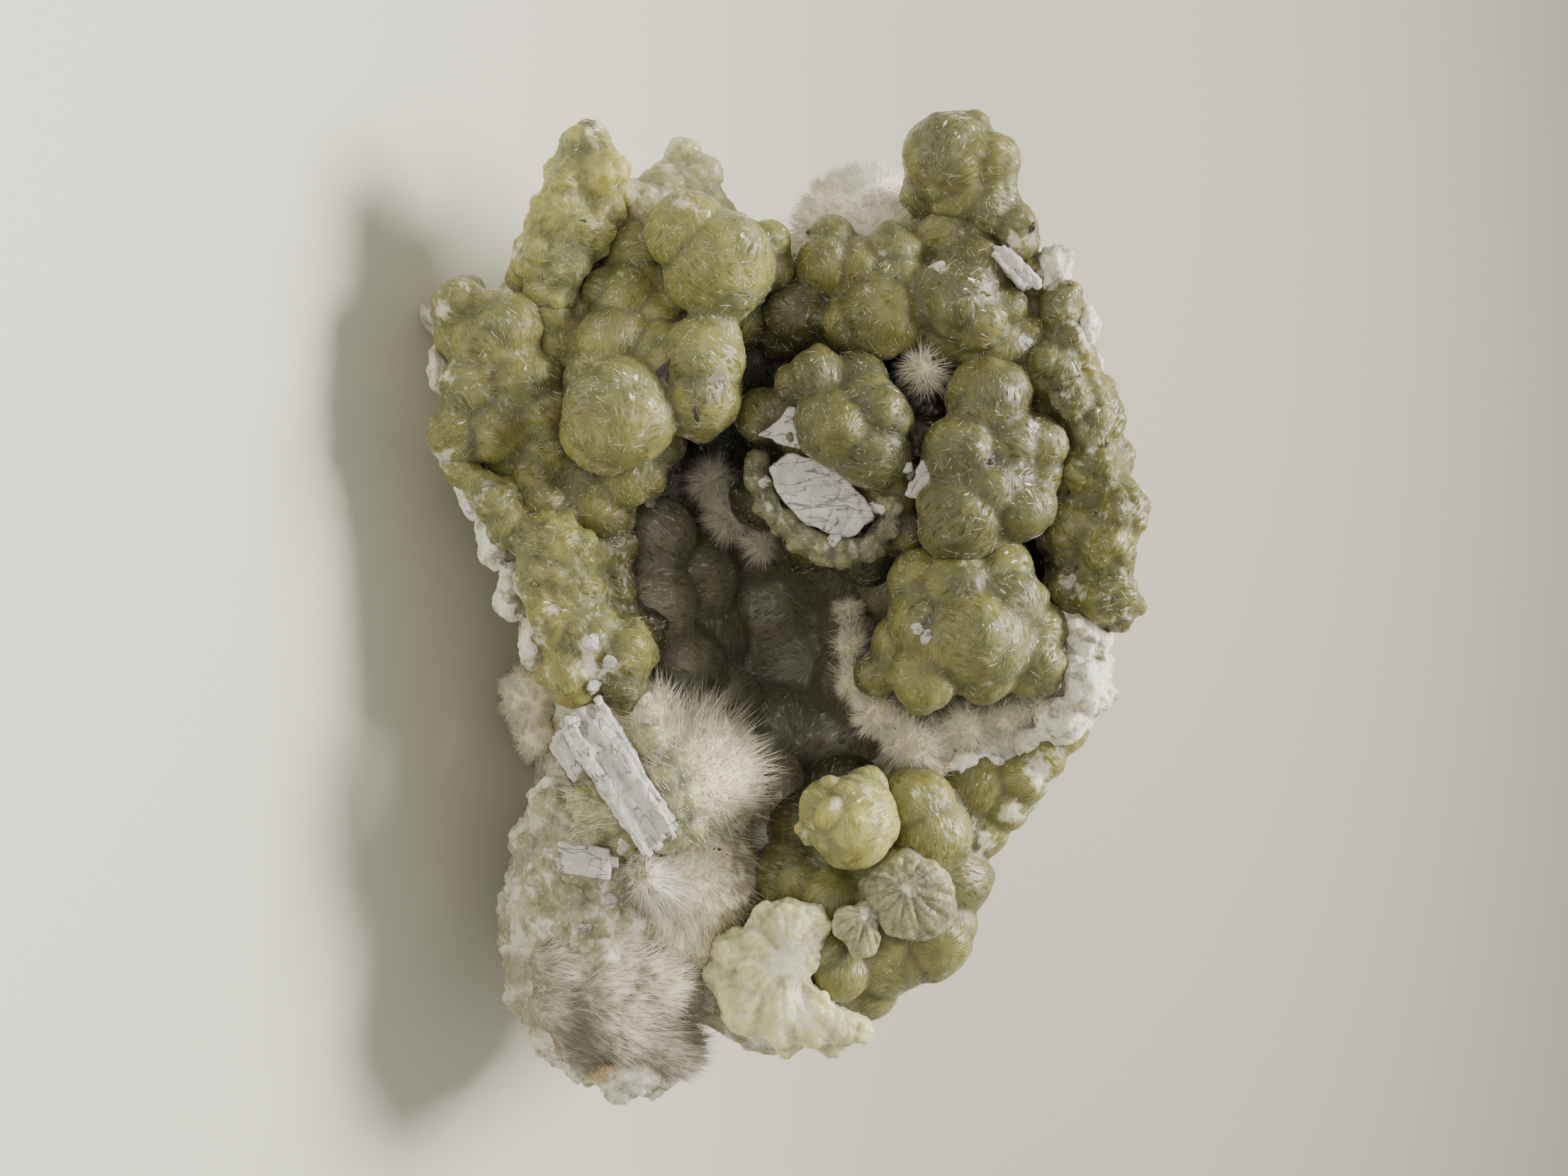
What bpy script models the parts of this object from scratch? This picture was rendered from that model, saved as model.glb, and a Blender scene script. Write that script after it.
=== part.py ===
"""An okenite and prehnite specimen: a broken vug of green botryoidal prehnite on its pale matrix,
tufted with okenite puffballs and set with chalky laumontite blades.

The lumps are placed on the specimen's own leaning face, in millimetres: `across` runs along its
length, `up` climbs the face and `into` goes back into the stone. stand() turns such a place into
the upright model, in metres, +Z up, with the origin on the resting surface under its middle.
"""

import math

import bmesh
import bpy
from mathutils import Matrix, Vector

MM = 0.001

# The face leans back from upright, and its middle is this high over the resting surface.
LEAN = math.radians(33.0)
FACE_MIDDLE_HEIGHT = 36.9
# The lumps were measured from this far in front of the face, so deeper ones spread wider.
SIGHT_DISTANCE = 205.0
# The middle of the whole specimen, along its length and front to back.
MIDDLE_ACROSS = 2.3
MIDDLE_BACK = 12.0

# Touching minerals keep at least a third of a millimetre between them after thinning.
GAP = 0.9
CRYSTAL_VOXEL = 0.7
MATRIX_VOXEL = 0.85

PREHNITE = ("prehnite", (0.30, 0.29, 0.12, 1.0), 0.35)
PALE_PREHNITE = ("pale_prehnite", (0.50, 0.47, 0.28, 1.0), 0.45)
OKENITE = ("okenite", (0.72, 0.65, 0.56, 1.0), 0.9)
LAUMONTITE = ("laumontite", (0.74, 0.73, 0.72, 1.0), 0.85)
MATRIX = ("matrix", (0.62, 0.60, 0.52, 1.0), 0.9)

# Prehnite lumps, each (across, up, into, radius).
LEFT_HORN = [
    (-40.2, -18.3, 2.2, 2.0), (-40.4, -17.2, 1.8, 1.7), (-37.6, -16.0, 2, 2.3), (-36.8, -19.4, 2.8, 2.7),
    (-33.9, -20.2, 2.5, 2.6), (-34.2, -16.6, 3, 2.2), (-32.2, -18, 2, 2.6), (-29.8, -22.2, 2.6, 2.5),
    (-29.6, -19.6, 2.3, 2.5), (-27.2, -21, 2.8, 2.4), (-36.8, -18.0, 5.5, 3.0), (-32.0, -20.0, 6, 3.6),
    (-28.4, -21.6, 6.5, 3.4),
]
BACK_HORN = [
    (-38.6, -8.8, 9.5, 2.0), (-36.8, -8.0, 9.5, 2.5), (-36.2, -10.8, 9, 2.5), (-34.6, -13, 8, 2.4),
    (-35.3, -14.4, 7, 1.7), (-32.5, -11.5, 9, 3.2), (-33.5, -7.5, 10, 3.0),
]
CROWN = [
    (-32.4, -8.7, 1.6, 3.6), (-29.4, -5.9, 2.3, 4.8), (-31.3, -1.4, 4.5, 2), (-30.3, -13.7, 5.5, 2.8),
    (-28, -13.5, 5, 2.3), (-24.2, -4, 6.5, 2.5), (-28.8, -1, 5, 2), (-26.5, -9, 8, 4.5),
    (-27.5, -3.5, 8.5, 4.0), (-24.5, -12.5, 8, 4.5),
]
LEFT_BALLS = [
    (-15.6, -14.9, 0.5, 4.7), (-14.5, -16.1, 2, 4.2), (-18.5, -17, 2, 3), (-20.7, -7.4, 2, 3.9),
    (-17.3, -7.75, 2.2, 3.8), (-19.3, -9.8, 2.5, 3.4), (-26.1, -14.6, 4, 2.9), (-27, -16.4, 3.5, 1.9),
    (-24.6, -12, 4, 2.2), (-22.3, -15.6, 3, 3.3), (-21.4, -11.5, 3, 2.7), (-24.2, -21.1, 4, 2.3),
    (-21.8, -20.6, 4, 2.2), (-19, -12, 8, 5.0), (-24, -17.5, 8, 4.5),
]
LEFT_MASS = [
    (-25.7, -29.2, 2.6, 2.5), (-26.1, -26.8, 0.8, 1.2), (-23.8, -24.8, 2, 3), (-21.8, -26.6, 2.2, 3.2),
    (-18.2, -28.1, 2, 3.1), (-18.6, -23.6, 2.2, 3.2), (-16.4, -21.9, 2.8, 2.9), (-13.8, -29.2, 2.7, 2.9),
    (-14.3, -26.2, 2.5, 2.9), (-23, -29.4, 3.5, 2.3), (-13, -21.6, 4.5, 2.5), (-9.4, -22.6, 4.5, 2.2),
    (-7.8, -21.8, 4.5, 2.2), (-6.1, -20, 5, 2.1), (-10.2, -13.7, 4.5, 2.8), (-13, -10.9, 5, 2.2),
    (-7, -16.6, 6, 3.1), (-9.5, -18, 6, 2.4), (-21, -24, 7, 4.5), (-14, -24.5, 7, 4.5), (-11, -17, 9, 4.5),
]
LEFT_RIM = [
    (-11, -29.3, 2.8, 1.7), (-9.3, -27.5, 2.8, 1.7), (-7.4, -26.1, 2.8, 1.8), (-5.4, -25.1, 2.8, 1.8),
    (-3.9, -21.4, 2.8, 3), (-3.2, -18.7, 3, 2.2), (-1.2, -21.8, 2.8, 2.7), (0.4, -18.4, 3.5, 2.2),
    (2.6, -20.5, 3, 2.8), (4.5, -17.5, 3, 3), (5.8, -14.4, 3.5, 2.9), (7.5, -19, 3, 3), (8.6, -14.8, 4, 2.4),
    (-8, -24.5, 5.5, 2.8), (0, -20, 6.5, 3.8), (6, -17, 7, 4.2), (-3.5, -16.5, 7.5, 3.2), (0.5, -16.2, 8, 3.2),
    (4.5, -14, 8.5, 3.2),
]
TOP_WALL = [
    (-31.7, 4.3, 5, 2.1), (-29.5, 3.9, 4.5, 2.6), (-28.9, 7.1, 4.5, 2.7), (-30.1, 9.75, 4.5, 2.7),
    (-28, 9.9, 4, 2.6), (-24.8, 8.9, 4, 3.7), (-24, 6.4, 4.5, 2.7), (-25.6, 11.4, 4.5, 2.6),
    (-24.8, 1, 6.5, 2.9), (-23, -0.2, 7.5, 2.3), (-22.5, 4.5, 8, 2.5), (-26.4, 16, 2.8, 3.6),
    (-24, 17.5, 1.8, 2.4), (-28.5, 17.3, 3.8, 3.2), (-25.4, 20.4, 2.6, 1.7), (-23.2, 14.6, 5, 3),
    (-31.7, 15.2, 5, 2.8), (-31.9, 18, 4.5, 2.2), (-21.4, 19.1, 5, 3.6), (-22.5, 21.8, 4.5, 2.6),
    (-27.5, 5, 9, 4.5), (-25.5, 12.5, 9, 5.0), (-25, 18.5, 8.5, 4.8), (-31, 12.8, 7.5, 3.0),
]
RIGHT_HORN = [
    (-38.8, 15.2, 4, 4.3), (-38.6, 18.7, 3, 2.7), (-41.8, 17.3, 3.5, 1.4), (-35.8, 16.2, 4, 3),
    (-36.2, 13.4, 5, 2.6), (-36, 19, 3.2, 2.1), (-34, 18.8, 2.8, 2.1), (-32.9, 21, 2.8, 2.0),
    (-31.3, 21.2, 3.2, 1.9), (-34.5, 16, 7, 3.4),
]
RIGHT_EDGE = [
    (-26.2, 25, 2.8, 1.8), (-24.8, 25.2, 2.8, 2), (-22.7, 25.6, 2.8, 1.9), (-19.9, 24.1, 3, 2.6),
    (-19.7, 26.2, 3.2, 2.2), (-16.9, 25.8, 1.4, 1.8), (-17.5, 27.8, 3.2, 1.8), (-14.9, 27.6, 4, 3.1),
    (-10.2, 27.4, 4.5, 3.3), (-11.2, 28.4, 1.8, 1.5), (-7.4, 30.2, 2.8, 2.6), (-5.4, 26.5, 5.5, 3.8),
    (-4.2, 29, 3.5, 3), (0.4, 26, 5.5, 2.6), (1.0, 29.6, 3.2, 2.7), (1.6, 31.6, 3, 1.4),
    (-27.8, 22.8, 5, 2.6), (-22.5, 24, 6.5, 3.6), (-17, 25.5, 7, 4.2), (-11, 26.8, 8, 4.6),
    (-3.5, 27, 9, 4.6),
]
CENTRE_CLUSTER = [
    (-19.2, 3.1, 2.2, 2.4), (-18.7, 0.8, 2.4, 1.6), (-18.8, 6.7, 3, 2.5), (-14.5, 4.9, 1, 3.3),
    (-15.6, 8.1, 1.2, 3.2), (-12.6, 7.8, 1.6, 3.3), (-15.5, -1.9, 5, 2.4), (-13.4, 12, 8, 2.5),
    (-8.2, -1.6, 8.5, 2.8), (-4.2, 2.7, 8, 2.6), (-3.4, 7.1, 8, 2.8), (-5.3, 11, 6, 2.5), (-9, 9.5, 5, 2.8),
    (-15, 4.5, 6.5, 4.8), (-9.5, 4.5, 10, 5.5), (-12, 10, 12, 5.0), (-18, 5, 11, 5.0), (-14.5, 0.5, 9, 3.6),
]
RIGHT_CLUSTER = [
    (-17, 18.4, 2.2, 3.5), (-13, 20.2, 2, 3), (-12.3, 15.8, 0.8, 2.9), (-12.8, 22.7, 2.8, 2.7),
    (-6.6, 16, 1.4, 3.6), (-8.8, 18.4, 1.2, 3), (-7.3, 21.2, 2, 2.9), (-4.4, 18.4, 3, 2.4),
    (-10.5, 22.8, 3.2, 2.4), (-10.5, 18.5, 4.5, 5.0), (-11, 19, 10, 5.5), (-15.5, 19.5, 8, 4.5),
]
LOWER_CLUSTER = [
    (-0.8, 12.2, 3.5, 2.6), (-0.4, 15.8, 2.2, 3), (-1.2, 19.6, 3, 2.8), (1.4, 20.2, 2, 3.2),
    (3, 12.8, 2.6, 3), (4.4, 17.4, 1.2, 4.2), (8.2, 12.8, 1.6, 2.7), (7.6, 18, 2.2, 2.7),
    (6.9, 22.6, 3, 2.6), (3.8, 23, 3.4, 2.4), (7.9, 8.3, 5, 1.9), (3.5, 17, 6, 4.8), (3, 18, 11, 5.5),
    (-3.5, 17.5, 11, 5.0), (5.5, 11.2, 5.5, 3.0),
]
LOW_RIM = [
    (15.4, 23.4, 6.5, 2.0), (17.4, 21.6, 6.5, 2.2), (19.6, 20.0, 7, 2.2), (21.6, 17.6, 8, 2.6),
    (12.6, 25.0, 7.5, 2.4), (18.0, 17.6, 8.5, 3.2), (21.5, 15.6, 8, 3.0),
]
BOTTOM_CLUSTER = [
    (19.9, 12, 5, 3.3), (22.3, 13.4, 4.5, 3.3), (26.5, 15.4, 7, 3.1), (31.6, 13.4, 6, 3.4),
    (33, 11, 6, 2.8), (30.6, 15.0, 6, 2.3), (27.8, 11.3, 2.8, 3.5), (31, 6.5, 2, 2.4), (26.3, 1, 8, 3.6),
    (28.2, 4.1, 5, 2.6), (34.8, 5.1, 4, 2.4), (36.4, 7.5, 8, 2.6), (32.6, 3.5, 4, 2.4),
    (27.5, 10, 8, 4.8), (32, 8.5, 8, 4.6), (23, 10, 8, 4.2), (31.5, 3, 8.5, 4.2), (21.8, 2.2, 10.5, 3.4),
    (18.5, 5.5, 11.5, 3.4), (23.5, 5.5, 9, 3.8),
]
CRUST = (
    LEFT_HORN + BACK_HORN + CROWN + LEFT_BALLS + LEFT_MASS + LEFT_RIM + TOP_WALL + RIGHT_HORN + RIGHT_EDGE
    + CENTRE_CLUSTER + RIGHT_CLUSTER + LOWER_CLUSTER
)
BUD = [(21.1, 6.2, 1.0, 4.1), (20, 4.1, 0.8, 2.8), (22.5, 6, 0.8, 3), (18.2, 7.4, 2.8, 2.1), (22, 2.4, 1, 1.2)]
FAN = [
    (30.8, 0.6, 1.4, 2.5), (34.9, -2.2, 1.8, 2.4), (33.6, 0.6, 1.8, 2.4), (35, -4.3, 3.5, 2.5),
    (37.8, -3.2, 2.2, 2.7), (38.6, -0.4, 2, 2.9), (39.1, 2.4, 2, 2.6), (39.8, 4.9, 2.2, 1.9),
    (40.1, 7.0, 2.3, 1.2), (41.4, 0.5, 2.3, 1.1), (41.3, 4.3, 2.3, 1.1), (36.5, -0.5, 5, 3.2),
]
# The drusy crust inside the hollow.
LINING = [
    (-4.9, -11.8, 13, 3.8), (1.5, -12.4, 13, 4.4), (-10, -10.5, 15, 4.2), (7.5, -9.5, 16, 4.2),
    (-1, -9, 20, 4.8), (4.5, -8.5, 22, 5), (11, -6.5, 20, 4.6), (13.8, -0.6, 23, 5), (14, 4.8, 22, 4.6),
    (1.5, -1, 30, 6.4), (7.8, 1, 30, 6.4), (-4.5, -3.5, 27, 5.6), (-9, -6, 22, 5), (-14, -5.5, 18, 4.4),
    (-19, -2, 16, 3.6), (-3.5, 4, 25, 5.2), (3, 8.5, 22, 5), (9.2, 7.6, 21, 4.8), (-1, 10.5, 15.5, 4),
    (-4, 9, 19, 4.2), (17.5, -3.5, 15, 3.6),
]

# Okenite balls, tufts and mats, out to the tips of their fibres.
FRONT_BALL = [(17.2, -9.2, 8.2, 8.3), (26.6, -9.2, 8.2, 8.0), (11.6, -12.4, 5.5, 4.0), (31.8, -9.4, 6, 5.2)]
BOTTOM_FUR = [
    (36, -12, 4.2, 4.0), (39.2, -15.4, 4.8, 3.8), (37.6, -20, 4.2, 3.2), (41, -11, 5, 3.2),
    (34.5, -19.6, 3.8, 3.2), (37.5, -15.5, 5, 4.2),
]
RIGHT_MAT = [
    (2, 6.0, 15, 2.2), (5.2, 6.0, 12.8, 2.4), (8.6, 6.2, 10.5, 2.5), (11.4, 8.6, 8.5, 3), (14, 11.8, 7, 3.4),
    (16.4, 13.4, 7.5, 2.8), (12.6, 16.5, 7, 3.2), (11.8, 20.2, 6.5, 2.8), (10.6, 23.6, 6, 2.6),
    (9.4, 26.6, 5.4, 2.2),
]
CAVITY_TUFT = [(-9, -6.2, 10.5, 2.5), (-6.4, -4.6, 10.5, 2.4), (-4.2, -1.6, 10.5, 2.1)]
SMALL_TUFT = [(-19.9, 12.6, 3.6, 2.2), (-18.6, 13.2, 4.2, 1.6)]
BACK_BALL = [(-31.6, 7.2, 16, 7.2)]
BASE_BALL = [(9.8, -22.8, 18.5, 3.3), (13.4, -22.4, 19, 2.6)]

# Matrix boulders, each a place and its half sizes across, up and into.
BOULDERS = [
    ((-12, 0, 24), (20, 25, 17)), ((12, -2, 25), (22, 21, 17)), ((-19, -22, 14), (11, 8, 10)),
    ((-2, -19.5, 13), (12, 5, 9)), ((29.5, -15.5, 13), (15.5, 10, 12.5)), ((-8, 25, 17), (16, 5.5, 10)),
    ((26, 7, 19), (11, 8.5, 11)), ((-24.5, -2, 19), (7, 22, 11)), ((-31, 16, 11), (6, 5.5, 6)),
    ((-30, -19, 10), (7, 4.2, 5)), ((6, -15, 36), (28, 13, 12)), ((14, 20, 13), (7, 5, 7)),
    ((35, -2, 11), (7, 6.5, 7)), ((43.8, -14.2, 7.5), (2.9, 4.4, 5)), ((-24.6, -31, 12), (2.4, 2.4, 3)),
]
RIDGE = [
    ((4.6, 27, 5), (2.6, 2.6, 4)), ((8.4, 27.4, 5.5), (4.2, 2.4, 4.2)), ((12.6, 24.4, 8.6), (2.6, 2.8, 4)),
    ((-29, 24.4, 3.4), (2.2, 1.8, 3)), ((-23, 27, 5), (3, 1.4, 3.4)),
]
# The hollow in the stone, broken open along the face.
HOLLOW = [((2, -3, 8), (15, 11.5, 22)), ((-12, -4, 8), (10, 8, 12)), ((9, 3, 12), (10, 9, 13))]

# Laumontite blades: both ends, then width and thickness.
LONG_PRISM = ((11.0, -18.6, -1.4), (23.3, -10.8, -1.6), 4.2, 2.8)
SHORT_PRISM = ((13.4, -20.7, -0.6), (16.9, -18.1, -0.8), 2.0, 2.0)
FLAT_PRISM = ((24.2, -20.4, -0.2), (25.0, -15.2, -0.4), 2.6, 1.8)
TOP_BUNDLE = ((-30.7, 19.2, 0.6), (-27.2, 22.7, 1.2), 1.7, 1.7)
RIGHT_FLAKE = ((-11.6, 13.4, 0.8), (-8.0, 11.8, 1.6), 1.7, 1.0)
# The two cleaved pieces in the middle, each an outline on the face, its front and its thickness.
CENTRE_CAST = ([(-10.9, -1.3), (-12.2, 0.2), (-11.7, 4.0), (-10.0, 5.8), (-6.2, 8.2), (-4.5, 5.6), (-5.6, 2.0),
                (-8.8, -0.7)], 2.6, 3.0)
UPPER_FLAKE = ([(-16.4, 0.4), (-16.4, 2.2), (-14.1, 1.5), (-12.8, 2.4), (-12.7, 0.6), (-13.8, -2.4), (-14.8, -1.0)],
               1.6, 1.2)


def stand(across, up, into):
    """A place on the leaning face, as a point of the upright model in metres."""
    spread = 1.0 + into / SIGHT_DISTANCE
    back = spread * up * math.sin(LEAN) + into * math.cos(LEAN) - MIDDLE_BACK
    height = FACE_MIDDLE_HEIGHT + spread * up * math.cos(LEAN) - into * math.sin(LEAN)
    return Vector((spread * across - MIDDLE_ACROSS, back, height)) * MM


def face_turn():
    """Turns across, up and into from X, Y and Z to where they lie on the leaning face."""
    across = Vector((1.0, 0.0, 0.0))
    up = Vector((0.0, math.sin(LEAN), math.cos(LEAN)))
    into = Vector((0.0, math.cos(LEAN), -math.sin(LEAN)))
    return Matrix((across, up, into)).transposed().to_4x4()


def clear_scene():
    for obj in list(bpy.data.objects):
        bpy.data.objects.remove(obj, do_unlink=True)


def new_collection(name):
    made = bpy.data.collections.new(name)
    bpy.context.scene.collection.children.link(made)
    return made


def material_of(kind):
    name, colour, roughness = kind
    found = bpy.data.materials.get(name)
    if found:
        return found
    made = bpy.data.materials.new(name)
    made.use_nodes = True
    shader = made.node_tree.nodes["Principled BSDF"]
    shader.inputs["Base Color"].default_value = colour
    shader.inputs["Roughness"].default_value = roughness
    return made


def object_from(bm, name, home):
    mesh = bpy.data.meshes.new(name)
    bm.to_mesh(mesh)
    bm.free()
    obj = bpy.data.objects.new(name, mesh)
    home.objects.link(obj)
    return obj


def settle(obj):
    """Keeps what the modifiers make as the object's own mesh."""
    graph = bpy.context.evaluated_depsgraph_get()
    mesh = bpy.data.meshes.new_from_object(obj.evaluated_get(graph))
    obj.modifiers.clear()
    obj.data = mesh


def fuse(obj, voxel):
    skin = obj.modifiers.new("Fuse", "REMESH")
    skin.mode = "VOXEL"
    skin.voxel_size = voxel * MM
    settle(obj)


def cut(obj, cutter):
    boolean = obj.modifiers.new("Cut", "BOOLEAN")
    boolean.operation = "DIFFERENCE"
    boolean.object = cutter
    settle(obj)


def thin_out(obj, triangles):
    """Brings the skin down to about this many triangles."""
    obj.data.calc_loop_triangles()
    thin = obj.modifiers.new("Thin", "DECIMATE")
    thin.ratio = min(1.0, triangles / len(obj.data.loop_triangles))
    thin.use_collapse_triangulate = True
    settle(obj)


def drop_crumbs(obj):
    """Keeps the largest body, without the crumbs that a cut leaves loose."""
    bm = bmesh.new()
    bm.from_mesh(obj.data)
    unseen = set(bm.verts)
    largest = set()
    while unseen:
        island = set()
        frontier = [unseen.pop()]
        while frontier:
            vert = frontier.pop()
            island.add(vert)
            for edge in vert.link_edges:
                other = edge.other_vert(vert)
                if other in unseen:
                    unseen.remove(other)
                    frontier.append(other)
        if len(island) > len(largest):
            largest = island
    bmesh.ops.delete(bm, geom=[vert for vert in bm.verts if vert not in largest], context="VERTS")
    bm.to_mesh(obj.data)
    bm.free()


def lumps(name, home, places, grow=0.0):
    """Round lumps grown together into one skin, or with `grow` the pocket that clears them."""
    bm = bmesh.new()
    for across, up, into, radius in places:
        size = radius * (1.0 + into / SIGHT_DISTANCE) + grow
        place = Matrix.Translation(stand(across, up, into))
        bmesh.ops.create_icosphere(bm, subdivisions=3, radius=size * MM, matrix=place)
    obj = object_from(bm, name, home)
    fuse(obj, CRYSTAL_VOXEL)
    return obj


def boulders(name, home, stones):
    """Squashed balls joined into one mass of stone."""
    turn = face_turn()
    bm = bmesh.new()
    for place, halves in stones:
        spread = 1.0 + place[2] / SIGHT_DISTANCE
        stretch = Matrix.Diagonal((halves[0] * spread, halves[1] * spread, halves[2], 1.0))
        bmesh.ops.create_icosphere(
            bm, subdivisions=4, radius=MM, matrix=Matrix.Translation(stand(*place)) @ turn @ stretch
        )
    obj = object_from(bm, name, home)
    fuse(obj, MATRIX_VOXEL)
    return obj


def bar(name, home, blade, grow=0.0):
    """A flat-sided prism, a little narrower at its far end, with its edges broken."""
    start, end, width, thickness = blade
    first = stand(*start)
    last = stand(*end)
    along = (last - first).normalized()
    side = along.cross(face_turn().col[2].to_3d()).normalized()
    inward = side.cross(along)
    half_length = (last - first).length / 2 + grow * MM
    half_width = (width / 2 + grow) * MM
    half_depth = (thickness / 2 + grow) * MM
    far_end_narrowing = 0.88
    bm = bmesh.new()
    bmesh.ops.create_cube(bm, size=2.0)
    for vert in bm.verts:
        if vert.co.y > 0:
            vert.co.x *= far_end_narrowing
    bmesh.ops.scale(bm, vec=(half_width, half_length, half_depth), verts=bm.verts)
    bmesh.ops.bevel(bm, geom=bm.edges[:], offset=0.35 * MM, segments=1, affect="EDGES")
    axes = Matrix((side, along, inward)).transposed().to_4x4()
    bm.transform(Matrix.Translation((first + last) / 2) @ axes)
    return object_from(bm, name, home)


def slab(name, home, plate, grow=0.0):
    """A cleaved plate: its outline as a flat filled curve, given its thickness."""
    outline, front, thickness = plate
    middle = Vector((sum(point[0] for point in outline), sum(point[1] for point in outline))) / len(outline)
    curve = bpy.data.curves.new(name, "CURVE")
    curve.dimensions = "2D"
    curve.fill_mode = "BOTH"
    curve.extrude = (thickness / 2 + grow) * MM
    line = curve.splines.new("POLY")
    line.points.add(len(outline) - 1)
    for point, corner in zip(line.points, outline):
        offset = Vector(corner) - middle
        offset *= 1.0 + grow / offset.length
        point.co = (offset.x * MM, offset.y * MM, 0.0, 1.0)
    line.use_cyclic_u = True
    flat = bpy.data.objects.new(name, curve)
    home.objects.link(flat)
    mesh = bpy.data.meshes.new_from_object(flat.evaluated_get(bpy.context.evaluated_depsgraph_get()))
    bpy.data.objects.remove(flat)
    bm = bmesh.new()
    bm.from_mesh(mesh)
    bmesh.ops.remove_doubles(bm, verts=bm.verts, dist=0.01 * MM)
    bm.transform(Matrix.Translation(stand(middle.x, middle.y, front + thickness / 2)) @ face_turn())
    if bm.calc_volume(signed=True) < 0:
        bmesh.ops.reverse_faces(bm, faces=bm.faces)
    return object_from(bm, name, home)


def boxes_meet(first, second):
    for axis in range(3):
        one = [vert.co[axis] for vert in first.data.vertices]
        other = [vert.co[axis] for vert in second.data.vertices]
        if max(one) < min(other) or max(other) < min(one):
            return False
    return True


def finish(obj, kind, triangles, pockets):
    """Clears the pieces that were there first, then thins the skin and gives it its material."""
    bm = bmesh.new()
    for pocket in pockets.objects:
        if boxes_meet(obj, pocket):
            bm.from_mesh(pocket.data)
    if bm.verts:
        room = object_from(bm, obj.name + "_room", pockets)
        fuse(room, CRYSTAL_VOXEL)
        cut(obj, room)
        bpy.data.objects.remove(room)
    if triangles:
        fuse(obj, CRYSTAL_VOXEL)
    drop_crumbs(obj)
    if triangles:
        thin_out(obj, triangles)
    obj.data.materials.clear()
    obj.data.materials.append(material_of(kind))


def hide(obj):
    obj.hide_render = True
    obj.display_type = "WIRE"


def build():
    clear_scene()
    specimen = new_collection("okenite_specimen")
    pockets = new_collection("pockets")
    cutters = new_collection("cutters")

    # Earlier pieces keep their shape, and later ones make room for them.
    # Each is a name, what it is, how it is shaped, from what, and its triangles if it is thinned.
    for name, kind, maker, shape, triangles in (
        ("laumontite_long_prism", LAUMONTITE, bar, LONG_PRISM, None),
        ("laumontite_short_prism", LAUMONTITE, bar, SHORT_PRISM, None),
        ("laumontite_flat_prism", LAUMONTITE, bar, FLAT_PRISM, None),
        ("laumontite_top_bundle", LAUMONTITE, bar, TOP_BUNDLE, None),
        ("laumontite_right_flake", LAUMONTITE, bar, RIGHT_FLAKE, None),
        ("laumontite_centre_cast", LAUMONTITE, slab, CENTRE_CAST, None),
        ("laumontite_upper_flake", LAUMONTITE, slab, UPPER_FLAKE, None),
        ("prehnite_bud", PREHNITE, lumps, BUD, 260),
        ("prehnite_fan", PALE_PREHNITE, lumps, FAN, 420),
        ("prehnite_crust", PREHNITE, lumps, CRUST, 4200),
        ("prehnite_bottom_cluster", PREHNITE, lumps, BOTTOM_CLUSTER + LOW_RIM, 700),
        ("okenite_front_ball", OKENITE, lumps, FRONT_BALL, 420),
        ("okenite_bottom_fur", OKENITE, lumps, BOTTOM_FUR, 260),
        ("okenite_right_mat", OKENITE, lumps, RIGHT_MAT, 320),
        ("okenite_cavity_tuft", OKENITE, lumps, CAVITY_TUFT, 140),
        ("okenite_small_tuft", OKENITE, lumps, SMALL_TUFT, 90),
        ("okenite_back_ball", OKENITE, lumps, BACK_BALL, 240),
        ("okenite_base_ball", OKENITE, lumps, BASE_BALL, 140),
        ("prehnite_lining", PREHNITE, lumps, LINING, 620),
    ):
        obj = maker(name, specimen, shape)
        finish(obj, kind, triangles, pockets)
        hide(maker(name + "_pocket", pockets, shape, GAP))

    matrix = boulders("matrix", specimen, BOULDERS + RIDGE)
    hollow = boulders("hollow", cutters, HOLLOW)
    hide(hollow)
    cut(matrix, hollow)
    finish(matrix, MATRIX, 1760, pockets)
    bm = bmesh.new()
    bmesh.ops.create_cube(bm, size=200 * MM, matrix=Matrix.Translation((0.0, 0.0, -100 * MM)))
    floor_cut = object_from(bm, "floor_cut", cutters)
    hide(floor_cut)
    cut(matrix, floor_cut)


build()
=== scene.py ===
import math

import bmesh
import bpy
import numpy as np
from mathutils import Matrix, Vector
from mathutils.kdtree import KDTree


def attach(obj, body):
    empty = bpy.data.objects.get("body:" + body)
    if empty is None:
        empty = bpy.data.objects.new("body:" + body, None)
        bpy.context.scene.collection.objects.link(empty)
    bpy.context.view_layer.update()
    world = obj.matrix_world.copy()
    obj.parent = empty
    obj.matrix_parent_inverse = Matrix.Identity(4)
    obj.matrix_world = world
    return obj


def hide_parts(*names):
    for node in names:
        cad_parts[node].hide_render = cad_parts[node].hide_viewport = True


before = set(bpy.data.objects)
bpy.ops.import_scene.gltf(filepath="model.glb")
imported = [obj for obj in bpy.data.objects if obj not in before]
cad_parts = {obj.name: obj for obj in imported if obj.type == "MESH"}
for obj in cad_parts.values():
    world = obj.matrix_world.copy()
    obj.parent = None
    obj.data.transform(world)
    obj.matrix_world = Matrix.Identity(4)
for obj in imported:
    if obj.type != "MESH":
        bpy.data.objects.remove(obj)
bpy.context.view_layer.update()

# The view: the specimen stands on a pale table and is seen from in front and above, with the
# camera turned on its side, so that the specimen's length runs up the picture. The camera looks
# along the same line that the broken face leans back on.
MM = 0.001
LEAN = math.radians(33.0)
SIGHT_DISTANCE = 205.0
FACE_MIDDLE = Vector((-2.3, -12.0, 36.9))
sight = Vector((0.0, math.cos(LEAN), -math.sin(LEAN)))
face_up = Vector((0.0, math.sin(LEAN), math.cos(LEAN)))
picture_up = Vector((-1.0, 0.0, 0.0))

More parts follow.
